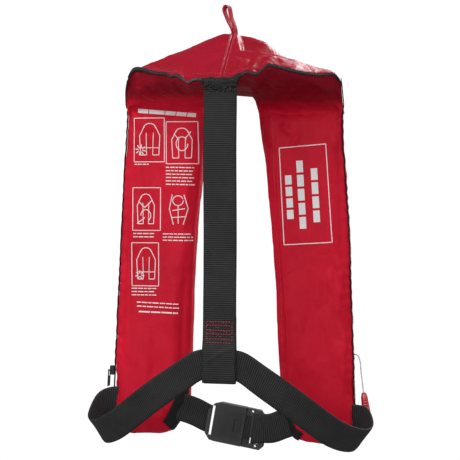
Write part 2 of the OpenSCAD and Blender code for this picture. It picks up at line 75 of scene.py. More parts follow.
def spline(stations, values, at):
    """natural cubic spline through rows of values"""
    stations, values, at = (np.asarray(a, float) for a in (stations, values, at))
    count = len(stations)
    gap = np.diff(stations)
    system, rhs = np.eye(count), np.zeros_like(values)
    for i in range(1, count - 1):
        system[i, i - 1:i + 2] = gap[i - 1], 2 * (gap[i - 1] + gap[i]), gap[i]
        rhs[i] = 6 * ((values[i + 1] - values[i]) / gap[i] - (values[i] - values[i - 1]) / gap[i - 1])
    bend = np.linalg.solve(system, rhs)
    k = np.clip(np.searchsorted(stations, at) - 1, 0, count - 2)
    run = (at - stations[k])[:, None]
    span = gap[k][:, None]
    slope = (values[k + 1] - values[k]) / span - span * (2 * bend[k] + bend[k + 1]) / 6
    return (values[k] + run * slope + run * run * bend[k] / 2
            + run ** 3 * (bend[k + 1] - bend[k]) / (6 * span))


def resample(step, path, *others):
    """even stations along a path, then the path and its companions splined at them"""
    length = running_length(path)
    at = np.linspace(0, length[-1], max(3, int(length[-1] / step) + 1))
    return (at, *(spline(length, line, at) for line in (path, *others)))


def smoothstep(low, high, x):
    share = np.clip((x - low) / (high - low), 0, 1)
    return share * share * (3 - 2 * share)


def gauss(distance, width):
    return np.exp(-(distance / width) ** 2)


def fbm(points, sizes, octaves, seed):
    """fractal noise with its own wavelength along each axis"""
    return np.array([noise.fractal(Vector((x + seed, y - seed, z + 2 * seed)), 1.0, 2.0, octaves)
                     for x, y, z in points / np.array(sizes, float)])


def noise_at(x, y, z):
    return noise.noise(Vector((x, y, z)))


def crease(across, along, line, width, height, taper=0.18):
    """height field of one crease that follows a polyline and fades at both ends"""
    line = np.array(line, float)
    length = running_length(line)
    nearest = np.full(len(across), 1e9)
    place = np.zeros(len(across))
    for i, (start, end) in enumerate(zip(line[:-1], line[1:])):
        run = end - start
        square = run @ run
        share = (across - start[0]) * run[0] + (along - start[1]) * run[1]
        share = np.clip(share / square, 0, 1)
        distance = np.hypot(across - start[0] - share * run[0], along - start[1] - share * run[1])
        closer = distance < nearest
        nearest[closer] = distance[closer]
        place[closer] = (length[i] + share[closer] * math.sqrt(square)) / length[-1]
    fade = np.clip(place / taper, 0, 1) * np.clip((1 - place) / taper, 0, 1)
    return height * fade * gauss(nearest, width)


# ------------------------------------------------------------------ objects and meshes
def link(thing):
    scene.collection.objects.link(thing)
    return thing


def tell(piece, rides, slot, *replaced):
    """attach a finished piece to its body and hide the CAD parts it replaces"""
    if replaced:
        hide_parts(*replaced)
    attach(piece, rides)


def fix_normals(piece):
    bm = bmesh.new()
    bm.from_mesh(piece.data)
    bmesh.ops.recalc_face_normals(bm, faces=bm.faces)
    bm.to_mesh(piece.data)
    bm.free()


def smooth_all(mesh):
    mesh.polygons.foreach_set("use_smooth", [True] * len(mesh.polygons))


def mesh_obj(name, verts, faces, mat=None, smooth=True, uv=None, outward=True):
    mesh = bpy.data.meshes.new(name)
    verts = np.asarray(verts, float) * MM
    mesh.from_pydata([tuple(v) for v in verts], [], [tuple(int(i) for i in f) for f in faces])
    if smooth:
        smooth_all(mesh)
    if uv is not None:
        layer = mesh.uv_layers.new(name="UVMap")
        corner = np.zeros(len(mesh.loops), int)
        mesh.loops.foreach_get("vertex_index", corner)
        layer.data.foreach_set("uv", np.asarray(uv, float)[corner].ravel())
    mesh.update()
    piece = link(bpy.data.objects.new(name, mesh))
    if mat is not None:
        mesh.materials.append(mat)
    if outward:
        fix_normals(piece)
    return piece


def get_points(piece):
    flat = np.zeros(len(piece.data.vertices) * 3)
    piece.data.vertices.foreach_get("co", flat)
    return flat.reshape(-1, 3) / MM


def set_points(piece, points):
    piece.data.vertices.foreach_set("co", (points * MM).ravel())
    piece.data.update()


def vertex_normals(piece):
    flat = np.zeros(len(piece.data.vertices) * 3)
    piece.data.vertices.foreach_get("normal", flat)
    return flat.reshape(-1, 3)


def merged(pieces):
    """points and faces of several meshes in one numbering"""
    verts, faces, base = [], [], 0
    for piece in pieces:
        verts.append(get_points(piece))
        faces += [tuple(i + base for i in p.vertices) for p in piece.data.polygons]
        base += len(verts[-1])
    return np.concatenate(verts), faces


def join(pieces, name):
    """one mesh out of several with the same material"""
    verts, faces = merged(pieces)
    mat = pieces[0].data.materials[0]
    for piece in pieces:
        bpy.data.objects.remove(piece)
    return mesh_obj(name, verts, faces, mat, outward=False)


def apply_modifiers(piece):
    evaluated = piece.evaluated_get(bpy.context.evaluated_depsgraph_get())
    mesh = bpy.data.meshes.new_from_object(evaluated)
    piece.modifiers.clear()
    piece.data = mesh


def remesh(piece, size):
    modifier = piece.modifiers.new("remesh", "REMESH")
    modifier.mode = "VOXEL"
    modifier.voxel_size = size * MM
    modifier.use_smooth_shade = True
    apply_modifiers(piece)


def subdivide(piece):
    modifier = piece.modifiers.new("sub", "SUBSURF")
    modifier.levels = modifier.render_levels = 1
    apply_modifiers(piece)


def inflate(piece, pressure, reach):
    """cloth under a little inner pressure; no point moves more than reach"""
    last_frame = 20
    rest = get_points(piece)
    cloth = piece.modifiers.new("cloth", "CLOTH")
    settings = cloth.settings
    settings.quality = 5
    settings.mass = 0.3
    settings.tension_stiffness = settings.compression_stiffness = 15.0
    settings.shear_stiffness = 5.0
    settings.bending_stiffness = 0.5
    settings.use_pressure = True
    settings.uniform_pressure_force = pressure
    settings.shrink_min = 0.0
    settings.effector_weights.gravity = 0.0
    cloth.collision_settings.use_collision = False
    cloth.point_cache.frame_start = 1
    cloth.point_cache.frame_end = last_frame
    for number in range(1, last_frame + 1):
        scene.frame_set(number)
        bpy.context.view_layer.update()
    apply_modifiers(piece)
    move = get_points(piece) - rest
    distance = np.linalg.norm(move, axis=1, keepdims=True)
    set_points(piece, rest + move * np.minimum(1.0, reach / np.maximum(distance, 1e-6)))
    scene.frame_set(1)


# ------------------------------------------------------------------ sheets, tubes, webbing
def ring_faces(rings, sides, base=0):
    """quads between successive rings of points, then a cap on each end"""
    faces = [(base + i * sides + j, base + i * sides + (j + 1) % sides,
              base + (i + 1) * sides + (j + 1) % sides, base + (i + 1) * sides + j)
             for i in range(rings - 1) for j in range(sides)]
    last = base + (rings - 1) * sides
    return faces + [tuple(range(base + sides - 1, base - 1, -1)), tuple(range(last, last + sides))]


def skin_faces(rows, cols):
    """quads of a grid, of a second grid behind it, and of the rim between them"""
    i, j = np.meshgrid(np.arange(rows - 1), np.arange(cols - 1), indexing="ij")
    corner = (i * cols + j).ravel()
    front = np.stack([corner, corner + 1, corner + cols + 1, corner + cols], 1)
    last = (rows - 1) * cols
    rim = np.array([i * cols for i in range(rows)] + [last + j for j in range(1, cols)]
                   + [i * cols + cols - 1 for i in range(rows - 2, -1, -1)]
                   + list(range(cols - 2, 0, -1)))
    following = np.roll(rim, -1)
    size = rows * cols
    return front, front + size, np.stack([rim, following, following + size, rim + size], 1)


def grid_normals(grid):
    return unit(np.cross(np.gradient(grid, axis=0), np.gradient(grid, axis=1)))


def shell(name, grid, thick, mat, sign=1.0):
    """closed thin sheet from a grid; its second skin lies behind the first, against sign * normal"""
    second = grid - grid_normals(grid) * sign * thick
    front, back, rim = skin_faces(*grid.shape[:2])
    if sign > 0:
        faces = [front, back[:, ::-1], rim[:, ::-1]]
    else:
        faces = [front[:, ::-1], back, rim]
    verts = np.concatenate([grid.reshape(-1, 3), second.reshape(-1, 3)])
    return mesh_obj(name, verts, np.concatenate(faces), mat)


def web_ribbon(name, path, across, width, thick, rib, cup, wobble, seed,
               mat=None, step=0.54, pitch=2.7, cols=13):
    """ribbed webbing along a path: selvedges, cross ribs on both faces, a slight cup and wobble"""
    at, path, across = resample(step, np.asarray(path, float), np.asarray(across, float))
    across = unit(across)
    normal = unit(np.cross(unit(np.gradient(path, axis=0)), across))
    share = np.linspace(-1, 1, cols)
    ribs = rib * (0.5 + 0.5 * np.cos(2 * np.pi * at / pitch))
    edge = np.clip((1 - np.abs(share)) / 0.10, 0, 1)[None, :]
    lift = thick / 2 + ribs[:, None] * edge - 0.25 * (1 - edge)
    waves = wobble * np.array([[noise_at(a / 34.0 + seed, b * 0.9, seed) for b in share] for a in at])
    rise = cup * (1 - share ** 2)[None, :, None] + waves[..., None]
    middle = (path[:, None, :] + across[:, None, :] * (share * width / 2)[None, :, None]
              + normal[:, None, :] * rise)
    offset = normal[:, None, :] * lift[..., None]
    verts = np.concatenate([(middle + offset).reshape(-1, 3), (middle - offset).reshape(-1, 3)])
    uv = np.meshgrid(at * MM, share * width / 2 * MM, indexing="ij")[::-1]
    uv = np.stack(uv, -1).reshape(-1, 2)
    front, back, rim = skin_faces(len(path), cols)
    return mesh_obj(name, verts, np.concatenate([front, back[:, ::-1], rim]), mat or WEBBING,
                    uv=np.concatenate([uv, uv]))


def side_axes(path):
    """the unit direction along a path at each of its points"""
    along = unit(np.gradient(path, axis=0))
    return along


def tube(path, radius, mat, sides, step):
    _, path = resample(step, path)
    along = unit(np.gradient(path, axis=0))
    first = unit(np.cross(along, [0.12, 0.98, 0.15]))
    second = np.cross(along, first)
    angle = np.linspace(0, 2 * np.pi, sides, endpoint=False)[None, :, None]
    ring = first[:, None, :] * np.cos(angle) + second[:, None, :] * np.sin(angle)
    verts = path[:, None, :] + ring * radius
    return mesh_obj("tube", verts.reshape(-1, 3), ring_faces(len(path), sides), mat)


def cord(name, points, radius):
    """three-strand cord"""
    at, path = resample(0.7, np.asarray(points, float))
    along = unit(np.gradient(path, axis=0))
    first = unit(np.cross(along, [0.11, 0.97, 0.2]))
    second = np.cross(along, first)
    strands = []
    for k in range(3):
        turn = (at + k * 2.094)[:, None]
        strand = path + (first * np.cos(turn) + second * np.sin(turn)) * radius * 0.48
        strands.append(tube(strand, radius * 0.56, CORD, sides=6, step=0.7))
    return join(strands, name)


def stitch_row(path, normals, mat, length, radius, gap, sink=0.15):
    """a row of thread stitches lying on a surface: each one a short bowed capsule"""
    path = np.asarray(path, float)
    normals = np.broadcast_to(np.asarray(normals, float), path.shape)
    along = running_length(path)
    profile = np.array([0.25, 0.85, 1.0, 0.85, 0.25])  # radius along one stitch
    sides = 6
    angle = np.linspace(0, 2 * np.pi, sides, endpoint=False)[None, :, None]
    verts, faces = [], []
    for start in np.arange(0, along[-1] - length, length + gap):
        centre = lerp(np.linspace(start, start + length, len(profile)), along, path)
        normal = unit(lerp(start + length / 2, along, normals))
        side = np.cross(unit(centre[-1] - centre[0]), normal)
        lift = (profile - 0.4) * radius * 0.9 - sink + radius * 0.35
        centre = centre + normal[None, :] * lift[:, None]
        ring = normal * np.cos(angle) + side * np.sin(angle)
        faces += ring_faces(len(profile), sides, len(verts) * len(profile) * sides)
        verts.append((centre[:, None, :] + ring * (profile * radius)[:, None, None]).reshape(-1, 3))
    return mesh_obj("row", np.concatenate(verts), faces, mat)


# ------------------------------------------------------------------ ray casts
def tree_of(*pieces):
    verts, faces = merged(pieces)
    return BVHTree.FromPolygons([Vector(v) for v in verts], faces)


def cast(tree, start, direction, reach=400.0):
    """hit point and the normal that faces the ray, or two Nones"""
    hit, normal, _, _ = tree.ray_cast(Vector(start), Vector(direction).normalized(), reach)
    if hit is None:
        return None, None
    normal = np.array(normal)
    if np.dot(normal, np.array(direction)) > 0:
        normal = -normal
    return np.array(hit), normal


def trace(tree, starts, direction):
    """points and normals of all the rays that hit"""
    hits = [cast(tree, start, direction) for start in starts]
    return zip(*[hit for hit in hits if hit[0] is not None])


# ------------------------------------------------------------------ shader helpers
def feed(tree, socket, value):
    """link a socket, or set a number, vector or colour"""
    if isinstance(value, bpy.types.NodeSocket):
        tree.links.new(value, socket)
    elif socket.type == "RGBA":
        socket.default_value = (*value, 1.0)[:4]
    else:
        socket.default_value = value


def add_node(tree, kind, inputs=(), **settings):
    node = tree.nodes.new("ShaderNode" + kind)
    for key, value in settings.items():
        setattr(node, key, value)
    for key, value in dict(inputs).items():
        feed(tree, node.inputs[key], value)
    return node


def new_mat(name):
    mat = bpy.data.materials.new(name)
    mat.use_nodes = True
    tree = mat.node_tree
    tree.nodes.clear()
    output = add_node(tree, "OutputMaterial")
    bsdf = add_node(tree, "BsdfPrincipled")
    feed(tree, output.inputs[0], bsdf.outputs[0])
    return mat, tree, bsdf


def set_surface(tree, bsdf, **values):
    for key, value in values.items():
        feed(tree, bsdf.inputs[key.replace("_", " ")], value)


def calc(tree, operation, first, second=None):
    inputs = {0: first} if second is None else {0: first, 1: second}
    return add_node(tree, "Math", inputs, operation=operation).outputs[0]


def scale_add(tree, value, factor, offset):
    return calc(tree, "ADD", calc(tree, "MULTIPLY", value, factor), offset)


def wave(tree, value, frequency, operation="SINE"):
    return calc(tree, operation, calc(tree, "MULTIPLY", value, frequency))


def mix_col(tree, factor, first, second):
    return add_node(tree, "Mix", {0: factor, 6: first, 7: second}, data_type="RGBA").outputs[2]


def grey_ramp(tree, value, start, end, level=1.0):
    """black up to start, grey of the given level from end"""
    node = add_node(tree, "ValToRGB", {0: value})
    for element, place, grey in zip(node.color_ramp.elements, (start, end), (0.0, level)):
        element.position = place
        element.color = (grey, grey, grey, 1)
    return node.outputs[0]


def map_range(tree, value, from_range, to_range, kind="SMOOTHSTEP"):
    inputs = dict(enumerate((value, *from_range, *to_range)))
    return add_node(tree, "MapRange", inputs, interpolation_type=kind).outputs[0]


def bump(tree, height, strength, distance, normal=None):
    inputs = {"Strength": strength, "Distance": distance, "Height": height}
    if normal is not None:
        inputs["Normal"] = normal
    return add_node(tree, "Bump", inputs).outputs[0]


def object_coords(tree):
    return add_node(tree, "TexCoord").outputs["Object"]


def stretched(tree, coords, z_scale):
    inputs = {0: coords, "Scale": (1.0, 1.0, z_scale)}
    return add_node(tree, "Mapping", inputs).outputs[0]


def noise_tex(tree, coords, scale, detail=3.0, rough=0.55, distortion=0.0):
    return add_node(tree, "TexNoise", {"Vector": coords, "Scale": scale, "Detail": detail,
                                       "Roughness": rough, "Distortion": distortion}).outputs[0]


def bevelled(tree, radius):
    return add_node(tree, "Bevel", {"Radius": radius}, samples=4).outputs[0]


# ------------------------------------------------------------------ materials, in metres
def coated_fabric(name, base, dark, light, rough, spec, wrinkle, weave=0.0005,
                  sheen=0.0, coat=0.0, shade=None):
    """plain-woven cloth; shade = (low z, high z, colour) paints shade over the upper part"""
    mat, tree, bsdf = new_mat(name)
    coords = object_coords(tree)
    x, y, z = add_node(tree, "SeparateXYZ", {0: coords}).outputs
    blotches = noise_tex(tree, coords, 9.0)
    specks = noise_tex(tree, coords, 60.0, detail=4.0)
    colour = mix_col(tree, grey_ramp(tree, blotches, 0.32, 0.7), dark, base)
    share = calc(tree, "MULTIPLY", grey_ramp(tree, specks, 0.45, 0.75), 0.25)
    colour = mix_col(tree, share, colour, light)
    # two crossed threads
    frequency = 2 * math.pi / (weave * 2)
    warp = wave(tree, calc(tree, "ADD", x, y), frequency)
    weft = wave(tree, z, frequency)
    threads = scale_add(tree, calc(tree, "MULTIPLY", warp, weft), 0.5, 0.5)
    colour = mix_col(tree, calc(tree, "MULTIPLY", threads, 0.08), colour, dark)
    if shade is not None:
        # painted shade: above low z the colour is mixed towards the shade colour, most above high z;
        # on the left (x < 0) it starts higher up
        low, high, shade_colour = shade
        shift = map_range(tree, x, (-0.02, 0.02), (-0.010, 0.0), "LINEAR")
        share = map_range(tree, calc(tree, "ADD", z, shift), (low, high), (0.0, 0.85))
        colour = mix_col(tree, share, colour, shade_colour)
    # long soft folds, creases, fine creases, then the weave
    folds = noise_tex(tree, stretched(tree, coords, 0.22), 17.0, 1.5, 0.4, 0.6)
    creases = noise_tex(tree, coords, 22.0, 3.0, 0.5, 0.8)
    fine = noise_tex(tree, coords, 95.0, 3.0, 0.6, 0.4)
    normal = bump(tree, folds, strength=wrinkle, distance=0.022)
    normal = bump(tree, creases, wrinkle, 0.004, normal)
    normal = bump(tree, fine, wrinkle * 0.5, 0.0008, normal)
    set_surface(tree, bsdf, Base_Color=colour, Specular_IOR_Level=spec,
                Roughness=scale_add(tree, specks, 0.16, rough - 0.08),
                Sheen_Weight=sheen, Sheen_Roughness=0.35, Sheen_Tint=(1.0, 0.35, 0.4),
                Coat_Weight=coat, Coat_Roughness=0.28,
                Normal=bump(tree, threads, 0.25, 0.00012, normal))
    return mat


def webbing_mat(name, base, light):
    """ribbed webbing: u runs across, v along, both in metres"""
    mat, tree, bsdf = new_mat(name)
    uv = add_node(tree, "UVMap").outputs[0]
    u, v, _ = add_node(tree, "SeparateXYZ", {0: uv}).outputs
    slanted = calc(tree, "ADD", u, calc(tree, "MULTIPLY", v, 0.35))
    across = wave(tree, slanted, 2 * math.pi / 0.00115)
    along = wave(tree, v, 2 * math.pi / 0.0016)
    threads = scale_add(tree, calc(tree, "MULTIPLY", across, along), 0.5, 0.5)
    # painted highlight: the colour turns lighter on each rib crest, in step with the ribs of the
    # webbing mesh; the blotches below are random lighter tone
    ribs = scale_add(tree, wave(tree, v, 2 * math.pi / 0.0027, "COSINE"), 0.5, 0.5)
    ribs = calc(tree, "POWER", ribs, 1.6)
    share = scale_add(tree, threads, 0.12, calc(tree, "MULTIPLY", ribs, 0.75))
    blotches = noise_tex(tree, object_coords(tree), 35.0, detail=4.0)
    colour = mix_col(tree, share, base, light)
    colour = mix_col(tree, grey_ramp(tree, blotches, 0.42, 0.72, 0.25), colour, light)
    set_surface(tree, bsdf, Base_Color=colour, Roughness=0.62, Specular_IOR_Level=0.26,
                Sheen_Weight=0.02, Sheen_Roughness=0.5,
                Normal=bump(tree, threads, strength=0.4, distance=0.00012))
    return mat


def plastic(name, base, rough, bevel=0.0006, grain=0.1, spec=0.5, coat=0.0, wear=None,
            transmission=0.0):
    """moulded plastic or paint; wear is the colour of rubbed edges"""
    mat, tree, bsdf = new_mat(name)
    coords = object_coords(tree)
    blotches = noise_tex(tree, coords, 40.0, detail=4.0)
    lighter = tuple(min(1, c * 1.35 + 0.012) for c in base)
    colour = mix_col(tree, grey_ramp(tree, blotches, 0.4, 0.75, 0.6), base, lighter)
    if wear is not None:
        edges = add_node(tree, "NewGeometry").outputs["Pointiness"]
        colour = mix_col(tree, grey_ramp(tree, edges, 0.52, 0.62, 0.7), colour, wear)
    fine = noise_tex(tree, coords, 900.0, detail=2.0)
    set_surface(tree, bsdf, Base_Color=colour, Specular_IOR_Level=spec, Coat_Weight=coat,
                Roughness=scale_add(tree, blotches, 0.18, rough - 0.09),
                Transmission_Weight=transmission,
                Normal=bump(tree, fine, grain, 0.0001, bevelled(tree, bevel)))
    return mat


def metal(name, base, rough):
    """metal brushed across z"""
    mat, tree, bsdf = new_mat(name)
    coords = object_coords(tree)
    brushing = noise_tex(tree, stretched(tree, coords, 14), 260.0, detail=4.0)
    blotches = noise_tex(tree, coords, 50.0)
    darker = tuple(c * 0.6 for c in base)
    colour = mix_col(tree, calc(tree, "MULTIPLY", blotches, 0.5), base, darker)
    set_surface(tree, bsdf, Base_Color=colour, Metallic=1.0,
                Roughness=scale_add(tree, brushing, 0.25, rough - 0.1),
                Normal=bump(tree, brushing, 0.12, 0.0001, bevelled(tree, 0.0003)))
    return mat


def thread_mat(name, base, period=0.0009):
    mat, tree, bsdf = new_mat(name)
    x, y, z = add_node(tree, "SeparateXYZ", {0: object_coords(tree)}).outputs
    diagonal = calc(tree, "ADD", calc(tree, "ADD", x, y), z)
    twist = scale_add(tree, wave(tree, diagonal, 2 * math.pi / period), 0.5, 0.5)
    darker = tuple(c * 0.45 for c in base)
    set_surface(tree, bsdf, Roughness=0.55, Sheen_Weight=0.3,
                Base_Color=mix_col(tree, calc(tree, "MULTIPLY", twist, 0.4), base, darker),
                Normal=bump(tree, twist, strength=0.6, distance=0.0002))
    return mat


def reflective_mat(name):
    mat, tree, bsdf = new_mat(name)
    cells = add_node(tree, "TexVoronoi", {"Vector": object_coords(tree), "Scale": 420.0})
    cells = cells.outputs["Distance"]
    set_surface(tree, bsdf, Metallic=0.7, Roughness=0.25,
                Base_Color=mix_col(tree, cells, (0.78, 0.79, 0.82), (0.55, 0.56, 0.6)),
                Normal=bump(tree, cells, strength=0.4, distance=0.0003))
    return mat


# base, dark and light of the red cloth
RED_TONES = (0.68, 0.006, 0.030), (0.52, 0.003, 0.020), (0.78, 0.020, 0.050)
RED_CLOTH = coated_fabric("red_coated_nylon", *RED_TONES, rough=0.50, spec=0.14, wrinkle=0.55)
# a darker copy of the red cloth: painted shade, so the collar's top renders darker than the lobes
RED_COLLAR_SHADED = coated_fabric(
    "red_coated_nylon_collar_shaded", (0.39, 0.0015, 0.020), (0.30, 0.001, 0.013), (0.47, 0.006, 0.030),
    rough=0.38, spec=0.15, wrinkle=0.22)
# the inside cloth with painted shade: darker near its top, where the underside faces down
RED_UNDER_SHADED = coated_fabric("red_coated_nylon_inside_shaded", *RED_TONES, rough=0.54, spec=0.12,
                          wrinkle=0.55, shade=(-0.096, -0.080, (0.20, 0.001, 0.010)))
YELLOW_CLOTH = coated_fabric(
    "yellow_bladder_nylon", (0.86, 0.60, 0.012), (0.74, 0.48, 0.008), (0.95, 0.74, 0.08),
    rough=0.45, spec=0.45, sheen=0.15, weave=0.0004, wrinkle=0.4, coat=0.05)
ZIP_TAPE = coated_fabric(
    "black_zip_tape", (0.010, 0.010, 0.011), (0.006, 0.006, 0.007), (0.03, 0.03, 0.032),
    rough=0.6, spec=0.25, weave=0.0004, wrinkle=0.2)
# its lighter colour is the painted highlight on the rib crests, and also the random lighter blotches
WEBBING = webbing_mat("black_webbing", (0.0012, 0.0011, 0.0012), (0.043, 0.0405, 0.043))
LOOP_TAPE = coated_fabric(
    "red_loop_tape", (0.55, 0.012, 0.035), (0.40, 0.006, 0.02), (0.66, 0.05, 0.08),
    rough=0.5, spec=0.45, sheen=0.3, weave=0.0007, wrinkle=0.2)
TEETH = plastic("zip_teeth", (0.035, 0.036, 0.038), 0.35, bevel=0.0001)
PRINT = coated_fabric("white_print", (0.86, 0.84, 0.84), (0.80, 0.74, 0.75), (0.9, 0.9, 0.9),
                      rough=0.5, spec=0.4, wrinkle=0.1)
RED_THREAD = thread_mat("red_thread", (0.62, 0.03, 0.06))
SEAM_THREAD = thread_mat("seam_thread", (0.70, 0.06, 0.09))
BLACK_THREAD = thread_mat("black_thread", (0.02, 0.02, 0.022))
BUCKLE = plastic("black_moulded_plastic", (0.010, 0.010, 0.011), 0.44, bevel=0.0009, grain=0.25,
                 spec=0.35, wear=(0.05, 0.05, 0.053))
BLACK_PLASTIC = plastic("black_plastic", (0.022, 0.022, 0.024), 0.40, grain=0.2)
RED_PLASTIC = plastic("red_plastic", (0.58, 0.012, 0.018), 0.32, coat=0.3)
TOGGLE = plastic("red_toggle_plastic", (0.66, 0.012, 0.03), 0.16, grain=0.05, spec=0.6, coat=0.8,
                 transmission=0.25)
YELLOW_PLASTIC = plastic("yellow_plastic", (0.80, 0.56, 0.02), 0.35, bevel=0.0008, grain=0.15,
                         coat=0.15)
RUBBER = plastic("yellow_rubber_tube", (0.74, 0.50, 0.04), 0.6, grain=0.25)
WHITE_PLASTIC = plastic("white_plastic", (0.80, 0.80, 0.78), 0.4, bevel=0.0004)
ORANGE_PLASTIC = plastic("orange_whistle_plastic", (0.86, 0.22, 0.01), 0.28, bevel=0.0008,
                         grain=0.08, coat=0.4)
STEEL = metal("steel", (0.62, 0.62, 0.64), 0.28)
DARK_METAL = metal("dark_zip_metal", (0.04, 0.04, 0.043), 0.38)
CYLINDER_PAINT = plastic("grey_cylinder_paint", (0.30, 0.32, 0.34), 0.34, coat=0.25,
                         wear=(0.6, 0.6, 0.6))
CORD = thread_mat("white_cord", (0.80, 0.80, 0.77), 0.0016)
REFLECTIVE = reflective_mat("reflective_tape")

# ------------------------------------------------------------------ lobes
# outline of a lobe, (|x|, z), anticlockwise from the top of the inner edge
OUTLINE = np.array([
    [42, -83], [45, -181], [51, -254], [56, -340], [58, -440], [60, -488], [78, -529], [95, -537],
    [140, -539], [158, -532], [165, -519], [165, -490], [147, -83]], float)
# the seam between body side and front cover follows the outer edge: its top, its lean outward
# per mm down, and how far it moves forward per mm inward
SEAM_X, SEAM_Y, SEAM_Z = 147.0, 53.0, -92.0
SEAM_LEAN = (165 - 147) / (490 - 92)
SEAM_SLOPE = 0.276
DRAW_IN = 4.0  # the right lobe's outer edge is drawn in by this at the top
# inner edge once inflated: depth below z = 0, then |x| for each side
INNER_DEPTHS = [83, 116, 130, 150, 181, 254, 340, 440, 488, 529, 537, 539]
INNER_EDGE = {1: [31, 31.5, 33, 36.5, 42, 50, 57.5, 62, 64.5, 81, 97, 120],
              -1: [33.5, 34, 36.5, 40, 44.6, 51, 56, 58, 60, 78, 95, 120]}
LOBE_BOTTOM = {1: -538.6, -1: -533.0}
CREASE_GAIN = 1.7
# creases of the body-side face: width, height, line of (|x|, z)
BODY_CREASES = {
    1: [(2.6, -1.7, [(54, -185), (58, -250), (66, -340), (72, -440), (78, -500)]),
        (3.5, 1.2, [(59, -185), (63, -250), (71, -340), (77, -440), (84, -505)]),
        (3.0, -1.0, [(141, -110), (143, -200), (147, -300)])],
    -1: [(4.0, -1.6, [(134, -100), (136, -150), (139, -195)]),
         (3.2, -1.5, [(141, -180), (146, -290), (150, -400), (152, -470)]),
         (5.0, 1.2, [(136, -230), (140, -320), (143, -430)]),
         (3.4, -1.2, [(64, -300), (67, -380), (70, -460)]),
         (6.0, 0.9, [(78, -330), (80, -400), (84, -480)]),
         (4.0, 1.0, [(100, -112), (80, -124), (60, -130)]),
         (4.0, -0.8, [(140, -118), (122, -126), (104, -128)])]}
# short bent creases of the right lobe: start x, z, end x, z, height
SHORT_CREASES = [
    (137, -285, 146, -330, 1.8), (146, -322, 139, -372, 1.6), (139, -368, 152, -420, 1.9),
    (130, -300, 137, -345, 1.1), (141, -395, 149, -455, 1.5), (128, -355, 133, -410, 0.8),
    (120, -120, 138, -150, 1.0), (60, -112, 84, -128, 1.4), (86, -120, 74, -150, -1.3)]


def outer_x(z):
    return SEAM_X + (SEAM_Z - z) * SEAM_LEAN


def seam_y(x, z):
    return SEAM_Y + SEAM_SLOPE * (outer_x(z) - x)


def draw_in(z, side):
    return DRAW_IN * smoothstep(-300, -110, z) if side > 0 else 0.0


def outer_seam_x(z):
    return outer_x(z) - 11


def inner_seam_x(z):
    return np.interp(-z, [90, 181, 254, 340, 440, 540], [52, 55, 61, 66, 68, 72])


def inset(outline, distance):
    """closed anticlockwise outline moved inward"""
    moved = []
    for i in range(len(outline)):
        before, here, after = outline[i - 1], outline[i], outline[(i + 1) % len(outline)]
        come = (here - before) / np.linalg.norm(here - before)
        leave = (after - here) / np.linalg.norm(after - here)
        normal_in, normal_out = np.array([-come[1], come[0]]), np.array([-leave[1], leave[0]])
        moved.append(here + (normal_in + normal_out) * distance / (1 + normal_in @ normal_out))
    return np.array(moved)


def round_corners(outline, count=4, radius=7.0):
    rounded = []
    for i in range(len(outline)):
        before, here, after = outline[i - 1], outline[i], outline[(i + 1) % len(outline)]
        come, leave = np.linalg.norm(before - here), np.linalg.norm(after - here)
        start = here + (before - here) / come * min(radius, come * 0.45)
        end = here + (after - here) / leave * min(radius, leave * 0.45)
        for t in np.linspace(0, 1, count):
            rounded.append((1 - t) ** 2 * start + 2 * t * (1 - t) * here + t * t * end)
    return np.array(rounded)


def pillow(name, outline, y0, y1, bevel):
    """closed block with rounded rims, from an XZ outline"""
    outline = round_corners(outline)
    count = len(outline)
    rows = []
    for y, shrink in ((y0, bevel), (y0 + bevel * 0.3, bevel * 0.3), (y0 + bevel, 0),
                      (y1 - bevel, 0), (y1 - bevel * 0.3, bevel * 0.3), (y1, bevel)):
        ring = inset(outline, shrink) if shrink else outline
        rows.append(np.stack([ring[:, 0], np.full(count, y), ring[:, 1]], 1))
    return mesh_obj(name, np.concatenate(rows), ring_faces(len(rows), count))


def fit_outline(points, side):
    """the inner pressure draws the sides in, so the pack is let out to its outline again"""
    slices = np.arange(-532, -86, 7.0)
    rows = [points[np.abs(points[:, 2] - z) < 6, 0] for z in slices]

    def smoothed(values):
        values = np.r_[values[0], np.convolve(values, np.ones(3) / 3, "valid"), values[-1]]
        return np.interp(points[:, 2], slices, values)

    high, low = smoothed([row.max() for row in rows]), smoothed([row.min() for row in rows])
    z = np.clip(points[:, 2], -536, -84)
    outer = np.interp(-z, [83, 490, 519, 532, 540], [146.6, 164.4, 164.4, 158, 150])
    outer = outer - draw_in(z, side)
    inner = np.interp(-z, INNER_DEPTHS, INNER_EDGE[side]) + 0.3
    points[:, 0] = inner + (points[:, 0] - low) / (high - low) * (outer - inner)
    z = points[:, 2]
    hem = -480
    stretched_z = hem + (z - hem) * (LOBE_BOTTOM[side] - hem) / (z.min() - hem)
    points[:, 2] = np.where(z < hem, stretched_z, z)


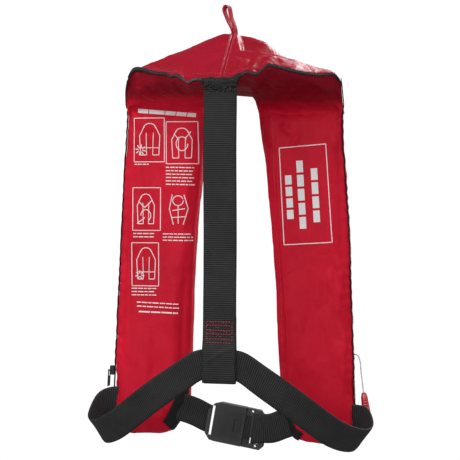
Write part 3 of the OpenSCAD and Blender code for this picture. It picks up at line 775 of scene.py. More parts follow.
def lobe_relief(points, normals, side):
    """height of the folds, creases and sewn lines at every point of a lobe"""
    x, _, z = points.T
    body = np.clip((-normals[:, 1] - 0.2) / 0.5, 0, 1)
    front = np.clip((normals[:, 1] - 0.2) / 0.5, 0, 1)
    seed = 11.0 if side > 0 else 47.0
    # long soft waves of packed cloth, drawn out along the lobe
    height = 1.5 * fbm(points, (26, 40, 95), 2, seed) + 0.5 * fbm(points, (11, 18, 38), 3, seed + 5)
    for width, rise, line in BODY_CREASES[side]:
        height += CREASE_GAIN * body * crease(x, z, line, width, rise)
    if side > 0:
        for k, (x0, z0, x1, z1, rise) in enumerate(SHORT_CREASES):
            line = [(x0, z0), ((x0 + x1) / 2 + 3 * (-1) ** k, (z0 + z1) / 2), (x1, z1)]
            height += CREASE_GAIN * body * crease(x, z, line, 4.6, rise, 0.3)
    # two sewn lines down the front, and packing folds across it
    height -= 1.1 * front * gauss(x - outer_seam_x(z), 1.6)
    height -= 0.9 * front * gauss(x - inner_seam_x(z), 1.6)
    for k, fold_z in enumerate((-150, -215, -290, -372, -450)):
        line = [(48, fold_z), (92, fold_z - 6 * (-1) ** k), (150, fold_z + 4)]
        height += front * crease(x, z, line, 5.0, -0.9)
    # puckers along the zip edge
    zone = np.clip((x - outer_x(z) + 14) / 12, 0, 1)
    return height + 0.45 * zone * np.sin(z / 2.6 + 2.2 * np.sin(z / 17.0))


def make_lobe(side, tag):
    lobe = pillow("lobe_" + tag, inset(OUTLINE, 3.0), 43.0, 81.5, bevel=7.0)
    remesh(lobe, 4.6)
    inflate(lobe, pressure=4.0, reach=5.0)
    points = get_points(lobe)
    fit_outline(points, side)
    set_points(lobe, points)
    subdivide(lobe)
    points, normals = get_points(lobe), vertex_normals(lobe)
    points = points + normals * lobe_relief(points, normals, side)[:, None]
    # the rim stays inside the zip line, the faces inside their planes
    soft = 1.5
    edge = outer_x(points[:, 2]) - 0.35 - soft
    x = points[:, 0]
    points[:, 0] = side * np.where(x > edge, edge + soft * np.tanh((x - edge) / soft), x)
    points[:, 1] = np.clip(points[:, 1], 36.6, 87.5)
    set_points(lobe, points)
    if side < 0:
        lobe.data.flip_normals()
    return lobe


def lobe_part(lobe, side, keep_body, name):
    """the cloth of a lobe on one side of the seam plane"""
    mesh = lobe.data.copy()
    bm = bmesh.new()
    bm.from_mesh(mesh)
    bmesh.ops.bisect_plane(
        bm, geom=bm.verts[:] + bm.edges[:] + bm.faces[:],
        plane_co=Vector((SEAM_X * side, SEAM_Y, SEAM_Z)) * MM,
        plane_no=Vector((SEAM_SLOPE * side, 1.0, SEAM_SLOPE * SEAM_LEAN)).normalized(),
        clear_outer=keep_body, clear_inner=not keep_body)
    bm.to_mesh(mesh)
    bm.free()
    part = link(bpy.data.objects.new(name, mesh))
    solidify = part.modifiers.new("thick", "SOLIDIFY")
    solidify.thickness = 1.3 * MM
    solidify.offset = -1.0
    solidify.use_rim = True
    apply_modifiers(part)
    smooth_all(part.data)
    part.data.materials.clear()
    part.data.materials.append(RED_CLOTH)
    return part


LOBES = {side: make_lobe(side, tag) for side, tag in SIDES}
LOBE_TREE = {side: tree_of(LOBES[side]) for side, _ in SIDES}
for side, tag in SIDES:
    body_side = lobe_part(LOBES[side], side, True, "lobe_body_side_" + tag)
    cover = lobe_part(LOBES[side], side, False, "lobe_front_cover_" + tag)
    tell(body_side, "jacket", "cover_fabric", "inner_panel_" + tag)
    tell(cover, "flap_" + tag, "cover_fabric", "front_cover_" + tag)

# ------------------------------------------------------------------ collar
# lines that run from the left end of the collar to the right, as (x, y, z)
RIM = np.array([
    (-148, 7, -59), (-146, 4, -51), (-141, 1, -44), (-134, -3, -41.5), (-120, -12, -43.5),
    (-97, -25, -50), (-85, -33, -51.5), (-76, -39, -52.5), (-70, -43, -57), (-63, -47, -54.5),
    (-50, -53, -61), (-43, -55.5, -66.5), (-38, -57.5, -62.5), (-30, -59.5, -61),
    (-21, -61, -63.5), (-12, -61.5, -61.5), (-4, -62, -63.5), (5, -62, -62), (11, -61.5, -63.5),
    (17, -61, -60), (25, -60, -55.5), (31, -59.2, -52), (37, -58, -54), (43, -57, -55.5),
    (50, -55, -49), (57, -52.5, -43), (65, -50, -44.5), (80, -43.5, -48), (95, -36, -51),
    (119, -20, -53), (130, -12, -51.5), (138, -5, -50), (144, 1, -54), (148, 7, -61)], float)
MID_SLOPE = np.array([
    (-148, 16, -65), (-141, 10, -46.5), (-120, 4, -40), (-97, -4, -43), (-74, -14, -42),
    (-50, -24, -40), (-20, -34, -40), (0, -35, -38.5), (15, -35, -38), (44, -33, -34.5),
    (57, -29, -32), (70, -27, -35), (95, -18, -42.5), (119, -6, -46.5), (137, 4, -47.5),
    (144, 9, -52), (148, 16, -66)])
RIDGE = np.array([
    (-148, 25, -71), (-141, 20, -48), (-120, 16, -38), (-97, 10, -37), (-74, 2, -32),
    (-50, -5, -26), (-20, -11, -24.5), (0, -12, -23), (15, -12, -22.8), (44, -11, -24.5),
    (70, -8, -29.5), (95, -2, -36.5), (119, 6, -42.5), (137, 13, -46.5), (144, 18, -52),
    (148, 25, -72)])
NECK = np.array([
    (-148, 42, -82), (-141, 40, -56), (-130, 37, -44), (-115, 34, -38.5), (-99, 34, -32),
    (-59, 36, -15), (-30, 36, -1.5), (-15, 36, 3.6), (0, 36, 4), (21, 36, 2), (33, 36.5, -2.5),
    (45, 37, -7.5), (55, 37.5, -16), (65, 38, -25.5), (80, 39, -33), (104, 42, -42),
    (130, 44, -50), (141, 44, -55), (148, 42, -83)])
SHOULDER = np.array([
    (-148, 60, -90), (-143, 67, -69), (-130, 66, -61), (-97, 63, -52), (-70, 58, -44),
    (-52, 50, -37), (-40, 45, -31), (-22, 43, -26), (0, 43, -25), (22, 43, -27), (40, 45, -33),
    (52, 50, -42), (70, 58, -52), (97, 64, -57), (130, 67, -62), (143, 69, -69), (148, 60, -90)])
FRONT_HEM = np.array([
    (-148, 82.5, -96), (-143, 82.6, -97), (-66, 82.2, -97), (-58, 78, -88), (-50, 66, -80),
    (-42, 48, -73.5), (-22, 42.5, -70.5), (0, 42, -70), (22, 42.5, -70.5), (42, 48, -73.5),
    (50, 66, -80), (58, 78, -88), (66, 82.2, -97), (143, 82.6, -97), (148, 82.5, -96)])
UNDER_MID = np.array([
    (-148, 22, -74), (-130, 6, -72), (-97, -8, -72), (-60, -14, -74), (-40, -18, -72),
    (0, -22, -72), (20, -20, -72), (40, -18, -70), (60, -14, -66), (97, -6, -68),
    (130, 10, -72), (148, 22, -75)])
UNDER_HOLLOW = np.array([
    (-148, 33, -82), (-130, 30, -85), (-97, 29, -87), (-60, 27, -86), (-46, 22, -82),
    (0, 12, -75.5), (26, 14, -76), (36, 20, -81), (60, 27, -86), (97, 29, -87),
    (130, 30, -85), (148, 33, -83)])
UNDER_EDGE = np.array([
    (-148, 42, -92), (-143, 40.2, -108), (-97, 39.4, -109), (-60, 39.4, -108), (-44, 40, -104),
    (-38, 38, -90), (-34, 36, -78), (0, 36, -76), (29.5, 36.5, -78.5), (31.5, 38, -92),
    (33.5, 39.6, -104), (60, 39.4, -108), (97, 39.4, -109), (143, 40.2, -108), (148, 42, -93)])
# gathers that run up from the rim, fanned around the strap: rim x, end x, end y, width, height
GATHERS = [
    (-66, -72, -20, 3.5, 1.3), (-46, -56, -30, 3.0, -1.3), (-40, -34, -38, 2.6, 1.1),
    (-28, -26, -42, 2.8, -0.9), (-18, -16, -44, 2.4, 0.9), (-10, -8, -46, 2.0, -0.7),
    (4, 5, -46, 2.0, 0.7), (12, 12, -40, 2.4, -1.2), (19, 22, -34, 3.0, 1.4),
    (28, 34, -24, 3.6, -1.8), (35, 43, -28, 2.6, 1.6), (42, 50, -32, 2.6, -1.8),
    (50, 64, -22, 3.4, 1.8), (60, 74, -28, 3.2, -1.0), (84, 96, -14, 4.2, 0.8),
    (-92, -104, -6, 5.0, 0.9)]
# other creases of the top: width, height, line of (x, y)
TOP_CREASES = [
    (1.1, 1.3, [(-4, -14), (-14, 2), (-27, 14)]),
    (2.2, 1.1, [(-4, -18), (-22, -17), (-46, -15)]),
    (3.5, -1.0, [(-5, -12), (-30, 2), (-52, 12)]),
    (2.6, 1.2, [(10, -12), (26, -14), (50, -13), (70, -10)]),
    (3.2, -1.3, [(8, -20), (24, -26), (40, -34)]),
    (7.0, 1.2, [(-70, 20), (-100, 20), (-125, 22)])]
# creases of the underside: start (x, y), end (x, y), width, height
UNDER_CREASES = [
    ((-136, -2), (-98, 26), 5, 2.4), ((-120, -10), (-84, 22), 4, -2.0),
    ((-96, -20), (-70, 18), 4, 1.6), ((-66, -34), (-58, 8), 4, -1.4), ((24, -50), (34, 4), 5, 1.5),
    ((40, -46), (60, 12), 5, -1.8), ((56, -44), (84, 14), 5, 1.6), ((92, -30), (64, 20), 6, -1.6),
    ((110, -20), (134, 20), 6, 1.5), ((-30, -50), (-20, 20), 5, 1.2), ((8, -52), (14, 22), 4, 1.2),
    ((132, -4), (96, 26), 5, 1.3)]
HALF = 148  # half the collar's span
NX, TOP_ROWS, UNDER_ROWS = 331, 86, 60
XS = np.linspace(-HALF, HALF, NX)
end_gap = HALF - np.abs(XS)
XS = np.sign(XS) * (HALF - end_gap * (0.55 + 0.45 * np.clip(end_gap / 30, 0, 1)))


def rim_at(x):
    """(y, z) of the rim, lightly smoothed away from its ends"""
    exact = lerp(x, RIM[:, 0], RIM[:, 1:])
    smooth = sum(lerp(np.clip(x + shift, -HALF, HALF), RIM[:, 0], RIM[:, 1:])
                 for shift in (-2.4, -1.2, 0, 1.2, 2.4)) / 5
    return np.where((np.abs(x) < 145)[..., None], smooth, exact)


def line_at(table, spread):
    """(y, z) of a collar line at XS, averaged over a spread that closes at the ends"""
    width = np.clip((HALF - np.abs(XS)) / 4, 0, 1) * spread
    return sum(lerp(np.clip(XS + shift * width, -HALF, HALF), table[:, 0], table[:, 1:])
               for shift in (-1, -0.5, 0, 0.5, 1)) / 5


def loft(lines, stations, rows):
    """grid of points: at each x a spline through the (y, z) of every line"""
    grid = np.zeros((NX, rows, 3))
    for i, x in enumerate(XS):
        grid[i, :, 0] = x
        grid[i, :, 1:] = spline(stations, [line[i] for line in lines], np.linspace(0, 1, rows))
    return grid


def draw_ends(points):
    """the left end is drawn in towards the body side, the right end towards the top"""
    points = np.array(points, float)
    factor = np.interp(points[..., 1], [-5, 7, 20, 40, 52], [0.902, 0.925, 0.955, 0.985, 1.0])
    weight = np.clip((-points[..., 0] - 50) / 98, 0, 1)
    points[..., 0] *= 1 - (1 - factor) * weight
    points[..., 0] -= (DRAW_IN * np.clip((points[..., 0] - 90) / 56, 0, 1)
                       * np.clip((points[..., 2] + 300) / 190, 0, 1))
    return points


def make_top():
    """grid of the collar's top, from the rim over the ridge and neck edge to the front hem"""
    ridge, neck = line_at(RIDGE, 5), line_at(NECK, 5)
    grid = loft([rim_at(XS), line_at(MID_SLOPE, 3), ridge, neck, line_at(SHOULDER, 6),
                 line_at(FRONT_HEM, 4)], [0, 0.2, 0.38, 0.66, 0.82, 1.0], TOP_ROWS)
    share = np.linspace(0, 1, TOP_ROWS)
    # on the wearer's right the cloth drops into a hollow between the ridge and the neck edge
    for i, x in enumerate(XS):
        y = grid[i, :, 1]
        across = np.clip((y - ridge[i, 0]) / (neck[i, 0] - ridge[i, 0]), 0, 1) * (share < 0.67)
        hollow_start = 4.0 + (36 - y) * 11 / 44.0
        depth = np.interp(x, [0, 14, 60, 75, 100, 122], [13, 15, 13, 9, 4, 0])
        depth = depth * smoothstep(-1.5, 8.5, x - hollow_start)
        grid[i, :, 2] -= depth * np.sin(np.pi * across ** 0.8) ** 0.9
    points = grid.reshape(-1, 3)
    x, y, _ = points.T
    inner = ((1 - np.abs(x) / HALF) * 12).clip(0, 1)
    height = inner * 1.1 * fbm(points, (30, 18, 18), 3, 3.0)
    height += inner * 0.45 * fbm(points, (9, 12, 12), 3, 9.0)
    for x0, x1, y1, width, rise in GATHERS:
        y0 = rim_at(np.array([x0]))[0, 0]
        line = [(x0, y0 - 2), ((x0 + x1) / 2, (y0 + y1) / 2), (x1, y1)]
        height += inner * crease(x, y, line, width, rise, 0.2 if rise > 0 else 0.25)
    for width, rise, line in TOP_CREASES:
        height += crease(x, y, line, width, rise, 0.25)
    # the centre seam: a sunk line between two rolled edges
    seam_rows = np.tile(np.arange(TOP_ROWS) < int(0.97 * TOP_ROWS), NX)
    height += seam_rows * (-1.1 * gauss(x, 0.9) + 0.55 * gauss(x - 2.4, 1.5)
                           + 0.55 * gauss(x + 2.4, 1.5))
    # a sewn line along the rim
    height -= 0.5 * gauss(np.tile(share * 150, NX) - 5.0, 1.0)
    grid = grid + grid_normals(grid) * height.reshape(NX, TOP_ROWS, 1)
    grid[..., 0] = np.clip(grid[..., 0], -148.2, 148.2)
    return draw_ends(grid)


def make_underside():
    """grid from just below the rim's zip, in and down to the lobes' body-side faces"""
    rim = rim_at(XS)
    start, middle = rim + [0.6, -3.2], line_at(UNDER_MID, 6)
    ends = smoothstep(148, 138, np.abs(XS))[:, None]
    below = (rim + [3.5, -8.5]) * ends + (start + (middle - start) * 0.3) * (1 - ends)
    grid = loft([start, below, middle, line_at(UNDER_HOLLOW, 6), line_at(UNDER_EDGE, 3)],
                [0, 0.14, 0.45, 0.75, 1.0], UNDER_ROWS)
    share = np.linspace(0, 1, UNDER_ROWS)
    # the lower rows lie on the lobes
    for i, x in enumerate(XS):
        if not 35 < abs(x) < 147:
            continue
        for j in range(int(UNDER_ROWS * 0.72), UNDER_ROWS):
            hit, _ = cast(LOBE_TREE[1 if x > 0 else -1], (x, -30, grid[i, j, 2]), FORWARD)
            if hit is not None:
                weight = (smoothstep(0.76, 0.92, share[j]) * smoothstep(35, 42, abs(x))
                          * smoothstep(147, 141, abs(x)))
                y = min(hit[1] - 0.5 + 0.75 * smoothstep(0.9, 1.0, share[j]), 42.5)
                grid[i, j, 1] = grid[i, j, 1] * (1 - weight) + y * weight
    points = grid.reshape(-1, 3)
    x, y, _ = points.T
    fade = np.tile(np.clip((1 - share) / 0.12, 0, 1) * np.clip(share / 0.05, 0, 1), NX)
    fade = fade * ((1 - np.abs(x) / HALF) * 14).clip(0, 1)
    height = 1.6 * fbm(points, (34, 20, 16), 3, 21.0) + 0.5 * fbm(points, (10, 14, 14), 3, 29.0)
    for (x0, y0), (x1, y1), width, rise in UNDER_CREASES:
        line = [(x0, y0), ((x0 + x1) / 2 + 2, (y0 + y1) / 2), (x1, y1)]
        height += crease(x, y, line, width, rise, 0.25)
    return draw_ends(grid - grid_normals(grid) * (height * fade).reshape(NX, UNDER_ROWS, 1))


COLLAR = make_top()
collar_top = shell("collar_top", COLLAR, 1.3, RED_COLLAR_SHADED)
tell(collar_top, "jacket", "cover_fabric", "collar_top_cover")
underside = shell("collar_underside", make_underside(), 1.2, RED_UNDER_SHADED, sign=-1.0)
MARK_TREE = {side: tree_of(LOBES[side], underside) for side, _ in SIDES}
tell(underside, "jacket", "cover_fabric", "collar_under_cover")

# thread on each side of the centre seam, and along the rim
collar_normals = grid_normals(COLLAR)
centre = NX // 2
seam_rows = slice(2, int(0.96 * TOP_ROWS))
rows = []
for offset in (-2.6, 2.6):
    column = int(round(centre + offset / (XS[centre + 1] - XS[centre])))
    rows.append(stitch_row(COLLAR[column, seam_rows], collar_normals[column, seam_rows],
                           SEAM_THREAD, length=2.6, radius=0.34, gap=0.9))
rows.append(stitch_row(COLLAR[6:NX - 6, 5], collar_normals[6:NX - 6, 5], SEAM_THREAD,
                       length=2.4, radius=0.30, gap=1.0))
tell(join(rows, "collar_seam_thread"), "jacket", "red_thread")


# ------------------------------------------------------------------ zips
def tooth_blocks(name, centres, half_across, half_along, half_out):
    """small blocks with narrowed ends, like moulded teeth"""
    verts, faces = [], []
    for centre, across, along, out in zip(centres, half_across, half_along, half_out):
        faces += ring_faces(4, 4, len(verts))
        for place, size in ((-1, 0.62), (-0.35, 1.0), (0.35, 1.0), (1, 0.62)):
            for i, j in ((-1, -1), (1, -1), (1, 1), (-1, 1)):
                verts.append(centre + across * place + along * i * size + out * j * size)
    return mesh_obj(name, np.array(verts), faces, TEETH, smooth=False)


def zip_strip(name, path, across, outward, width, *replaced):
    """tape with a raised middle, carrying a row of teeth; outward points away from the cloth"""
    path, across, outward = (np.asarray(a, float) for a in (path, across, outward))
    at, path, across, outward = resample(1.1, path, across, outward)
    across, outward = unit(across), unit(outward)
    share = np.linspace(-1, 1, 9)
    grid = (path[:, None, :] + across[:, None, :] * (share * width / 2)[None, :, None]
            + outward[:, None, :] * (0.35 * gauss(share, 0.3))[None, :, None])
    tape = shell(name + "_tape", grid, 0.8, ZIP_TAPE)
    count = int(at[-1] / 1.7)
    spots = np.linspace(1, at[-1] - 1, count)
    centre = lerp(spots, at, path)
    across, outward = unit(lerp(spots, at, across)), unit(lerp(spots, at, outward))
    along = np.cross(across, outward)
    stagger = np.where(np.arange(count) % 2 == 0, 1, -1)[:, None]
    teeth = tooth_blocks(name + "_teeth", centre + outward * 0.75 + across * stagger * 0.35,
                         across * 1.25, along * 0.52, outward * 0.42)
    for piece in (tape, teeth):
        tell(piece, "jacket", "zip_tape", *replaced)


def collar_zip():
    """zip along the collar rim, and a fold of tape over it"""
    xs = np.linspace(-146.5, 146.5, 240)
    rim = rim_at(xs)
    width = np.interp(xs, [-147, -140, -128, -100, -80, -60, -28, -24, 22, 26, 60, 90, 147],
                      [4, 6.2, 5.6, 4.6, 3.8, 3.8, 4.4, 6, 6, 4.6, 4.2, 4.6, 5])
    path = draw_ends(np.stack([xs, rim[:, 0] + 0.3, rim[:, 1] - width * 0.36], 1))
    along = np.gradient(path, axis=0)
    along[:, 2] *= 0.3
    across = np.tile([0.0, 0.15, 1.0], (len(xs), 1))
    outward = np.cross(unit(along), across)
    outward[outward[:, 1] > 0] *= -1
    outward = unit(outward)
    zip_strip("zip_collar", path, across, outward, 4.6, "zip_chain_collar")
    grid = np.zeros((len(xs), 6, 3))
    for j, share in enumerate(np.linspace(-1, 1, 6)):
        lift = 0.55 + 0.25 * (1 - share * share)
        grid[:, j] = path + across * (share * width / 2)[:, None] + outward * lift
    ripple = 0.35 * np.sin(xs / 2.1 + 1.3 * np.sin(xs / 9.0))
    grid[:, :, 2] += ripple[:, None] * np.linspace(-1, 0.3, 6)[None, :]
    tell(shell("zip_collar_band", grid[:200], 0.7, ZIP_TAPE), "jacket", "zip_tape")


# outer edge of a lobe that carries the zip, (|x|, z)
ZIP_EDGE = np.array([
    [147, -92], [151, -180], [155, -270], [159, -358], [163, -446], [165, -490], [165, -518],
    [158, -531.5], [140, -538.5], [134, -538.8]], float)
# where the zip turns from the lobe's edge up into the collar rim: path, then direction across
TURN_PATH = [(148.3, 53, -92), (148.6, 49, -88.5), (148.7, 36, -80), (148.6, 22, -71),
             (148.4, 11, -63.5), (147.7, 5, -58.5)]
TURN_ACROSS = [(0, 1, 0.1), (0, 0.8, 0.6), (0, 0.55, 0.85), (0, 0.55, 0.85), (0, 0.5, 0.87),
               (0, 0.3, 0.95)]


def lobe_zip(side, tag):
    # the extra last point only lets the true last corner be rounded; both ends are cut off
    edge = round_corners(np.concatenate([ZIP_EDGE, [[100, -500]]]), 6, 9.0)[6:-6]
    if side < 0:
        z = edge[:, 1]
        edge[:, 1] = np.where(z < -480, -480 + (z + 480) * 53.0 / 58.6, z)
    edge = np.concatenate([[[146.5, -90]], edge[edge[:, 1] < -93]])
    length = running_length(edge)
    keep = np.r_[True, np.diff(length) > 0.05]
    edge, length = edge[keep], length[keep]
    edge = lerp(np.arange(0, length[-1], 3.0), length, edge)
    along = unit(np.gradient(edge, axis=0))
    path, outward = [], []
    for (edge_x, z), (down_x, down_z) in zip(edge, along):
        out_x, out_z = -down_z, down_x
        x, y = edge_x - draw_in(z, side), seam_y(edge_x, z)
        start = (side * (x - 22 * out_x), y, z - 22 * out_z)
        hit, _ = cast(LOBE_TREE[side], start, (side * out_x, 0, out_z), 60)
        depth = 0.0
        if hit is not None:
            depth = (abs(hit[0]) - x) * out_x + (hit[2] - z) * out_z
        depth = max(min(depth, 0.3), -1.6) + 0.9
        path.append((side * (x + out_x * depth), y, z + out_z * depth))
        outward.append((side * out_x, 0, out_z))
    zip_strip("zip_" + tag, path, [FORWARD] * len(path), outward, 5.4, "zip_chain_" + tag)
    zip_strip("zip_turn_" + tag, draw_ends(np.array(TURN_PATH) * [side, 1, 1]), TURN_ACROSS,
              [(side, -0.12, 0.1)] * len(TURN_PATH), 5.0)


collar_zip()
for side, tag in SIDES:
    lobe_zip(side, tag)

# ------------------------------------------------------------------ back strap
# down from the collar, round the foot loop, back up in front of itself
STRAP_PATH = [
    (-1.2, -60.9, -61.5), (-1.4, -61.8, -64), (-1.5, -62.1, -72), (-1.5, -62.1, -120),
    (-0.9, -62.1, -200), (0, -62.1, -280), (0, -62.1, -345), (0, -62.2, -383.5), (0, -63.4, -391),
    (0, -66.1, -399), (0, -66.6, -418), (0, -66.2, -437), (0, -64.2, -442.6), (0, -61.6, -443.8),
    (0, -59.2, -441.5), (0, -57.9, -436), (0, -57.9, -403), (0, -59.0, -393), (0, -59.7, -385),
    (0, -59.7, -360)]


def back_strap():
    strap = web_ribbon("back_strap_webbing", STRAP_PATH, [(1, 0, 0)] * len(STRAP_PATH),
                       width=42.6, thick=2.0, rib=0.42, cup=0.0, cols=15, wobble=0.35, seed=4.0)
    points = get_points(strap)
    # it narrows a little, and shows the belt's fold through the foot loop
    points[:, 0] *= np.interp(-points[:, 2], [50, 90, 200, 330, 360, 400, 450],
                              [0.985, 0.985, 0.99, 0.985, 0.99, 1.0, 1.0])
    outer = (points[:, 1] < -63.5) & (points[:, 2] < -388)
    fold = [(22, -398), (7, -403), (-13, -415), (-22, -424)]
    points[:, 1] -= outer * crease(points[:, 0], points[:, 2], fold, 2.0, 1.0, 0.12)
    set_points(strap, points)
    tell(strap, "strap", "webbing", "back_strap")


def rim_gather():
    """crumpled black cloth over the strap's top"""
    grid = np.zeros((90, 16, 3))
    for i, x in enumerate(np.linspace(-24.5, 23.5, 90)):
        rim_y, rim_z = rim_at(np.array([x]))[0]
        end = max(min(1, (24.5 - abs(x + 0.5)) / 5), 0)
        drop = 15 + 2.2 * noise_at(x / 3.3, 4.0, 1.0) + 1.5 * noise_at(x / 1.2, 9.0, 1.0)
        drop = drop * (0.45 + 0.55 * end)
        for j, share in enumerate(np.linspace(0, 1, 16)):
            z = rim_z + 1.2 - drop * share
            crumple = 1.1 * noise_at(x / 2.6, z / 3.4, 3.0) + 0.5 * noise_at(x / 0.9, z / 1.1, 8.0)
            bulge = 2.2 * math.sin(math.pi * min(1, share * 1.08)) ** 0.6
            y = (min(rim_y, -60.2) - 1.6 - bulge
                 + crumple * (0.4 + 0.6 * math.sin(math.pi * share)))
            grid[i, j] = (x, y, z)
    tell(shell("rim_gather", grid, 0.8, ZIP_TAPE), "jacket", "zip_tape")


def bar_tack():
    """box of red stitches: six rows, two sides and short links between the rows"""
    face_y = -63.55
    levels = np.linspace(-366.0, -393.0, 6)
    rows = []
    for k, z in enumerate(levels):
        row_z = z + (0.5 if k % 2 else -0.3)
        y = face_y - (0.0 if z > -388 else 0.7 + 0.35 * max(0, -390 - z))
        rows.append(stitch_row([(-15.8, y, row_z), (15.8, y, row_z - 0.5)], BACKWARD, RED_THREAD,
                               length=2.1, radius=0.62, gap=1.35, sink=0.1))
    for x in (-16.2, 16.2):
        line = [(x, face_y, levels[0] - 1.5), (x, face_y - 0.3, levels[-1] + 1.5)]
        rows.append(stitch_row(line, BACKWARD, RED_THREAD, length=2.2, radius=0.5, gap=1.9,
                               sink=0.1))
    # start x, its row, end x, its row
    for x0, row0, x1, row1 in (
            (-11, 0, -4, 1), (4, 0, 11, 1), (-5, 1, 3, 2), (-12, 2, -5, 3), (5, 2, 13, 3),
            (-3, 3, 5, 4), (-13, 4, -6, 5), (6, 4, 12, 5)):
        line = [(x0, face_y, levels[row0] - 1.2), (x1, face_y, levels[row1] + 1.2)]
        rows.append(stitch_row(line, BACKWARD, RED_THREAD, length=2.0, radius=0.45, gap=1.5,
                               sink=0.1))
    tell(join(rows, "strap_bar_tack"), "strap", "red_thread", "strap_stitching")


def top_stitching():
    """black stitches that gather the rim onto the strap: three rows, then loose ones"""
    rng = np.random.default_rng(5)
    rows = []
    for k in range(3):
        line = [(x, -66.2 + 0.5 * k, -65.5 - 5.0 * k + rng.uniform(-1.3, 1.3))
                for x in np.linspace(-21, 21, 12)]
        rows.append(stitch_row(line, BACKWARD, BLACK_THREAD, length=2.6, radius=0.55, gap=0.7,
                               sink=0.05))
    for _ in range(26):
        x, z = rng.uniform(-20, 17), rng.uniform(-82, -66)
        angle = rng.uniform(0, 3.1)
        line = [(x, -65.4, z), (x + 4.5 * math.cos(angle), -65.9, z + 4.5 * math.sin(angle))]
        rows.append(stitch_row(line, BACKWARD, BLACK_THREAD, length=3.6, radius=0.5, gap=0.6,
                               sink=0.0))
    tell(join(rows, "strap_top_stitching"), "strap", "webbing")


back_strap()
rim_gather()
bar_tack()
top_stitching()

# ------------------------------------------------------------------ belts and hanging loop
# one belt piece a side, from inside the foot loop to inside the lobe: (|x|, y, z), then the
# share of the side's rise that each point takes
BELT_PATH = np.array([
    (0.6, -62.2, -420, 0), (12, -62.2, -420.2, 0), (22.6, -62.2, -421.3, 0),
    (44, -60.8, -433.6, 0), (78, -55, -458, 0), (124, -38, -494.5, 0), (158, -14, -517.5, 0),
    (178, 10, -520, 0), (179.5, 28, -510, 0.4), (175, 39, -503, 0.7), (167.5, 44.6, -502, 0.9),
    (150, 45, -502, 1), (116, 45, -504, 1), (92, 45, -506, 1)])
BELT_ACROSS = np.array([
    (0, 0, 1), (0.08, 0, 1), (0.2, 0, 0.98), (0.35, 0, 0.92), (0.5, 0, 0.86), (0.55, 0, 0.83),
    (0.6, 0, 0.8), (0.58, 0, 0.82), (0.4, 0, 0.92), (0.2, 0, 0.98), (0.08, 0, 1), (0, 0, 1),
    (0, 0, 1), (0, 0, 1)])
BELT_RISE = {1: 0.0, -1: 14.0}
for side, tag in SIDES:
    path = BELT_PATH[:, :3] * [side, 1, 1]
    path[:, 2] += BELT_PATH[:, 3] * BELT_RISE[side]
    belt = web_ribbon("waist_belt_" + tag + "_webbing", path, BELT_ACROSS * [side, 1, 1],
                      width=38.0, thick=1.9, rib=0.38, cup=0.35, wobble=0.9, seed=3.0 + side)
    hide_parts("waist_belt_" + tag, "waist_belt_back")
    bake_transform(belt)

# short belts on the buckle
BUCKLE_X, BUCKLE_Z, BUCKLE_TILT = 4, -516, math.radians(9.5)


def on_buckle(u, v, y):
    """a point given along and across the tilted buckle"""
    cos, sin = math.cos(BUCKLE_TILT), math.sin(BUCKLE_TILT)
    return (BUCKLE_X + u * cos + v * sin, y, BUCKLE_Z - u * sin + v * cos)


left_end = web_ribbon(
    "belt_end_left_webbing",
    [(-88, 45, -490.5), (-66, 45.6, -495), (-46, 47.2, -502), (-36, 47.8, -507),
     (-29.8, 48, -509.5)],
    [(0.1, 0, 1), (0.25, 0, 1), (0.34, 0, 1), (0.28, 0, 1), (0.2, 0, 1)],
    width=37.8, thick=1.9, rib=0.34, cup=0.3, wobble=0.5, seed=8.0)
tell(left_end, "jacket", "webbing", "belt_end_left")
right_end = web_ribbon(
    "belt_end_right_webbing",
    [on_buckle(24.5, 0.8, 42.6), on_buckle(30, 1.4, 42.2), (40, 42.6, -518.8),
     (52, 44.6, -518.6), (66, 47, -514), (84, 48, -507.5)],
    [(0.14, 0, 1), (0.12, 0, 1), (0.02, 0, 1), (-0.16, 0, 1), (-0.24, 0, 1), (-0.24, 0, 1)],
    width=39.4, thick=1.9, rib=0.34, cup=0.3, wobble=0.5, seed=9.0)
tell(right_end, "tongue", "webbing", "belt_end_right")

# hanging loop: tape doubled on itself, legs together, open at the top
LOOP_PATH = [
    (1.9, 36.5, 1.5), (2.3, 35.6, 6.5), (1.8, 35, 12), (-0.6, 35, 20), (-3.6, 35, 28),
    (-4.9, 35, 34.5), (-6.0, 35, 39.5), (-8.0, 35, 42.4), (-10.6, 35, 42.2), (-12.4, 35, 39.3),
    (-12.0, 35, 34.0), (-9.4, 35, 27), (-5.9, 35, 19.0), (-1.6, 35, 11), (-0.4, 35.6, 6.5),
    (0.2, 36.5, 1.5)]
loop = web_ribbon("hang_loop_tape", LOOP_PATH, [(0.52, 0.85, 0)] * len(LOOP_PATH), width=8.4,
                  thick=1.5, mat=LOOP_TAPE, step=0.5, pitch=1.1, rib=0.07, cup=0.0, cols=9,
                  wobble=0.25, seed=5.0)
tell(loop, "loop", "loop_tape", "hang_loop")
rows = [stitch_row([(3.3, y, 6), (2.8, y, 12), (0.6, y, 19.5), (-2.2, y, 27)], (1, 0, 0.2),
                   SEAM_THREAD, length=1.8, radius=0.26, gap=0.8, sink=0.05)
        for y in (32.2, 37.8)]
tell(join(rows, "hang_loop_thread"), "loop", "red_thread")


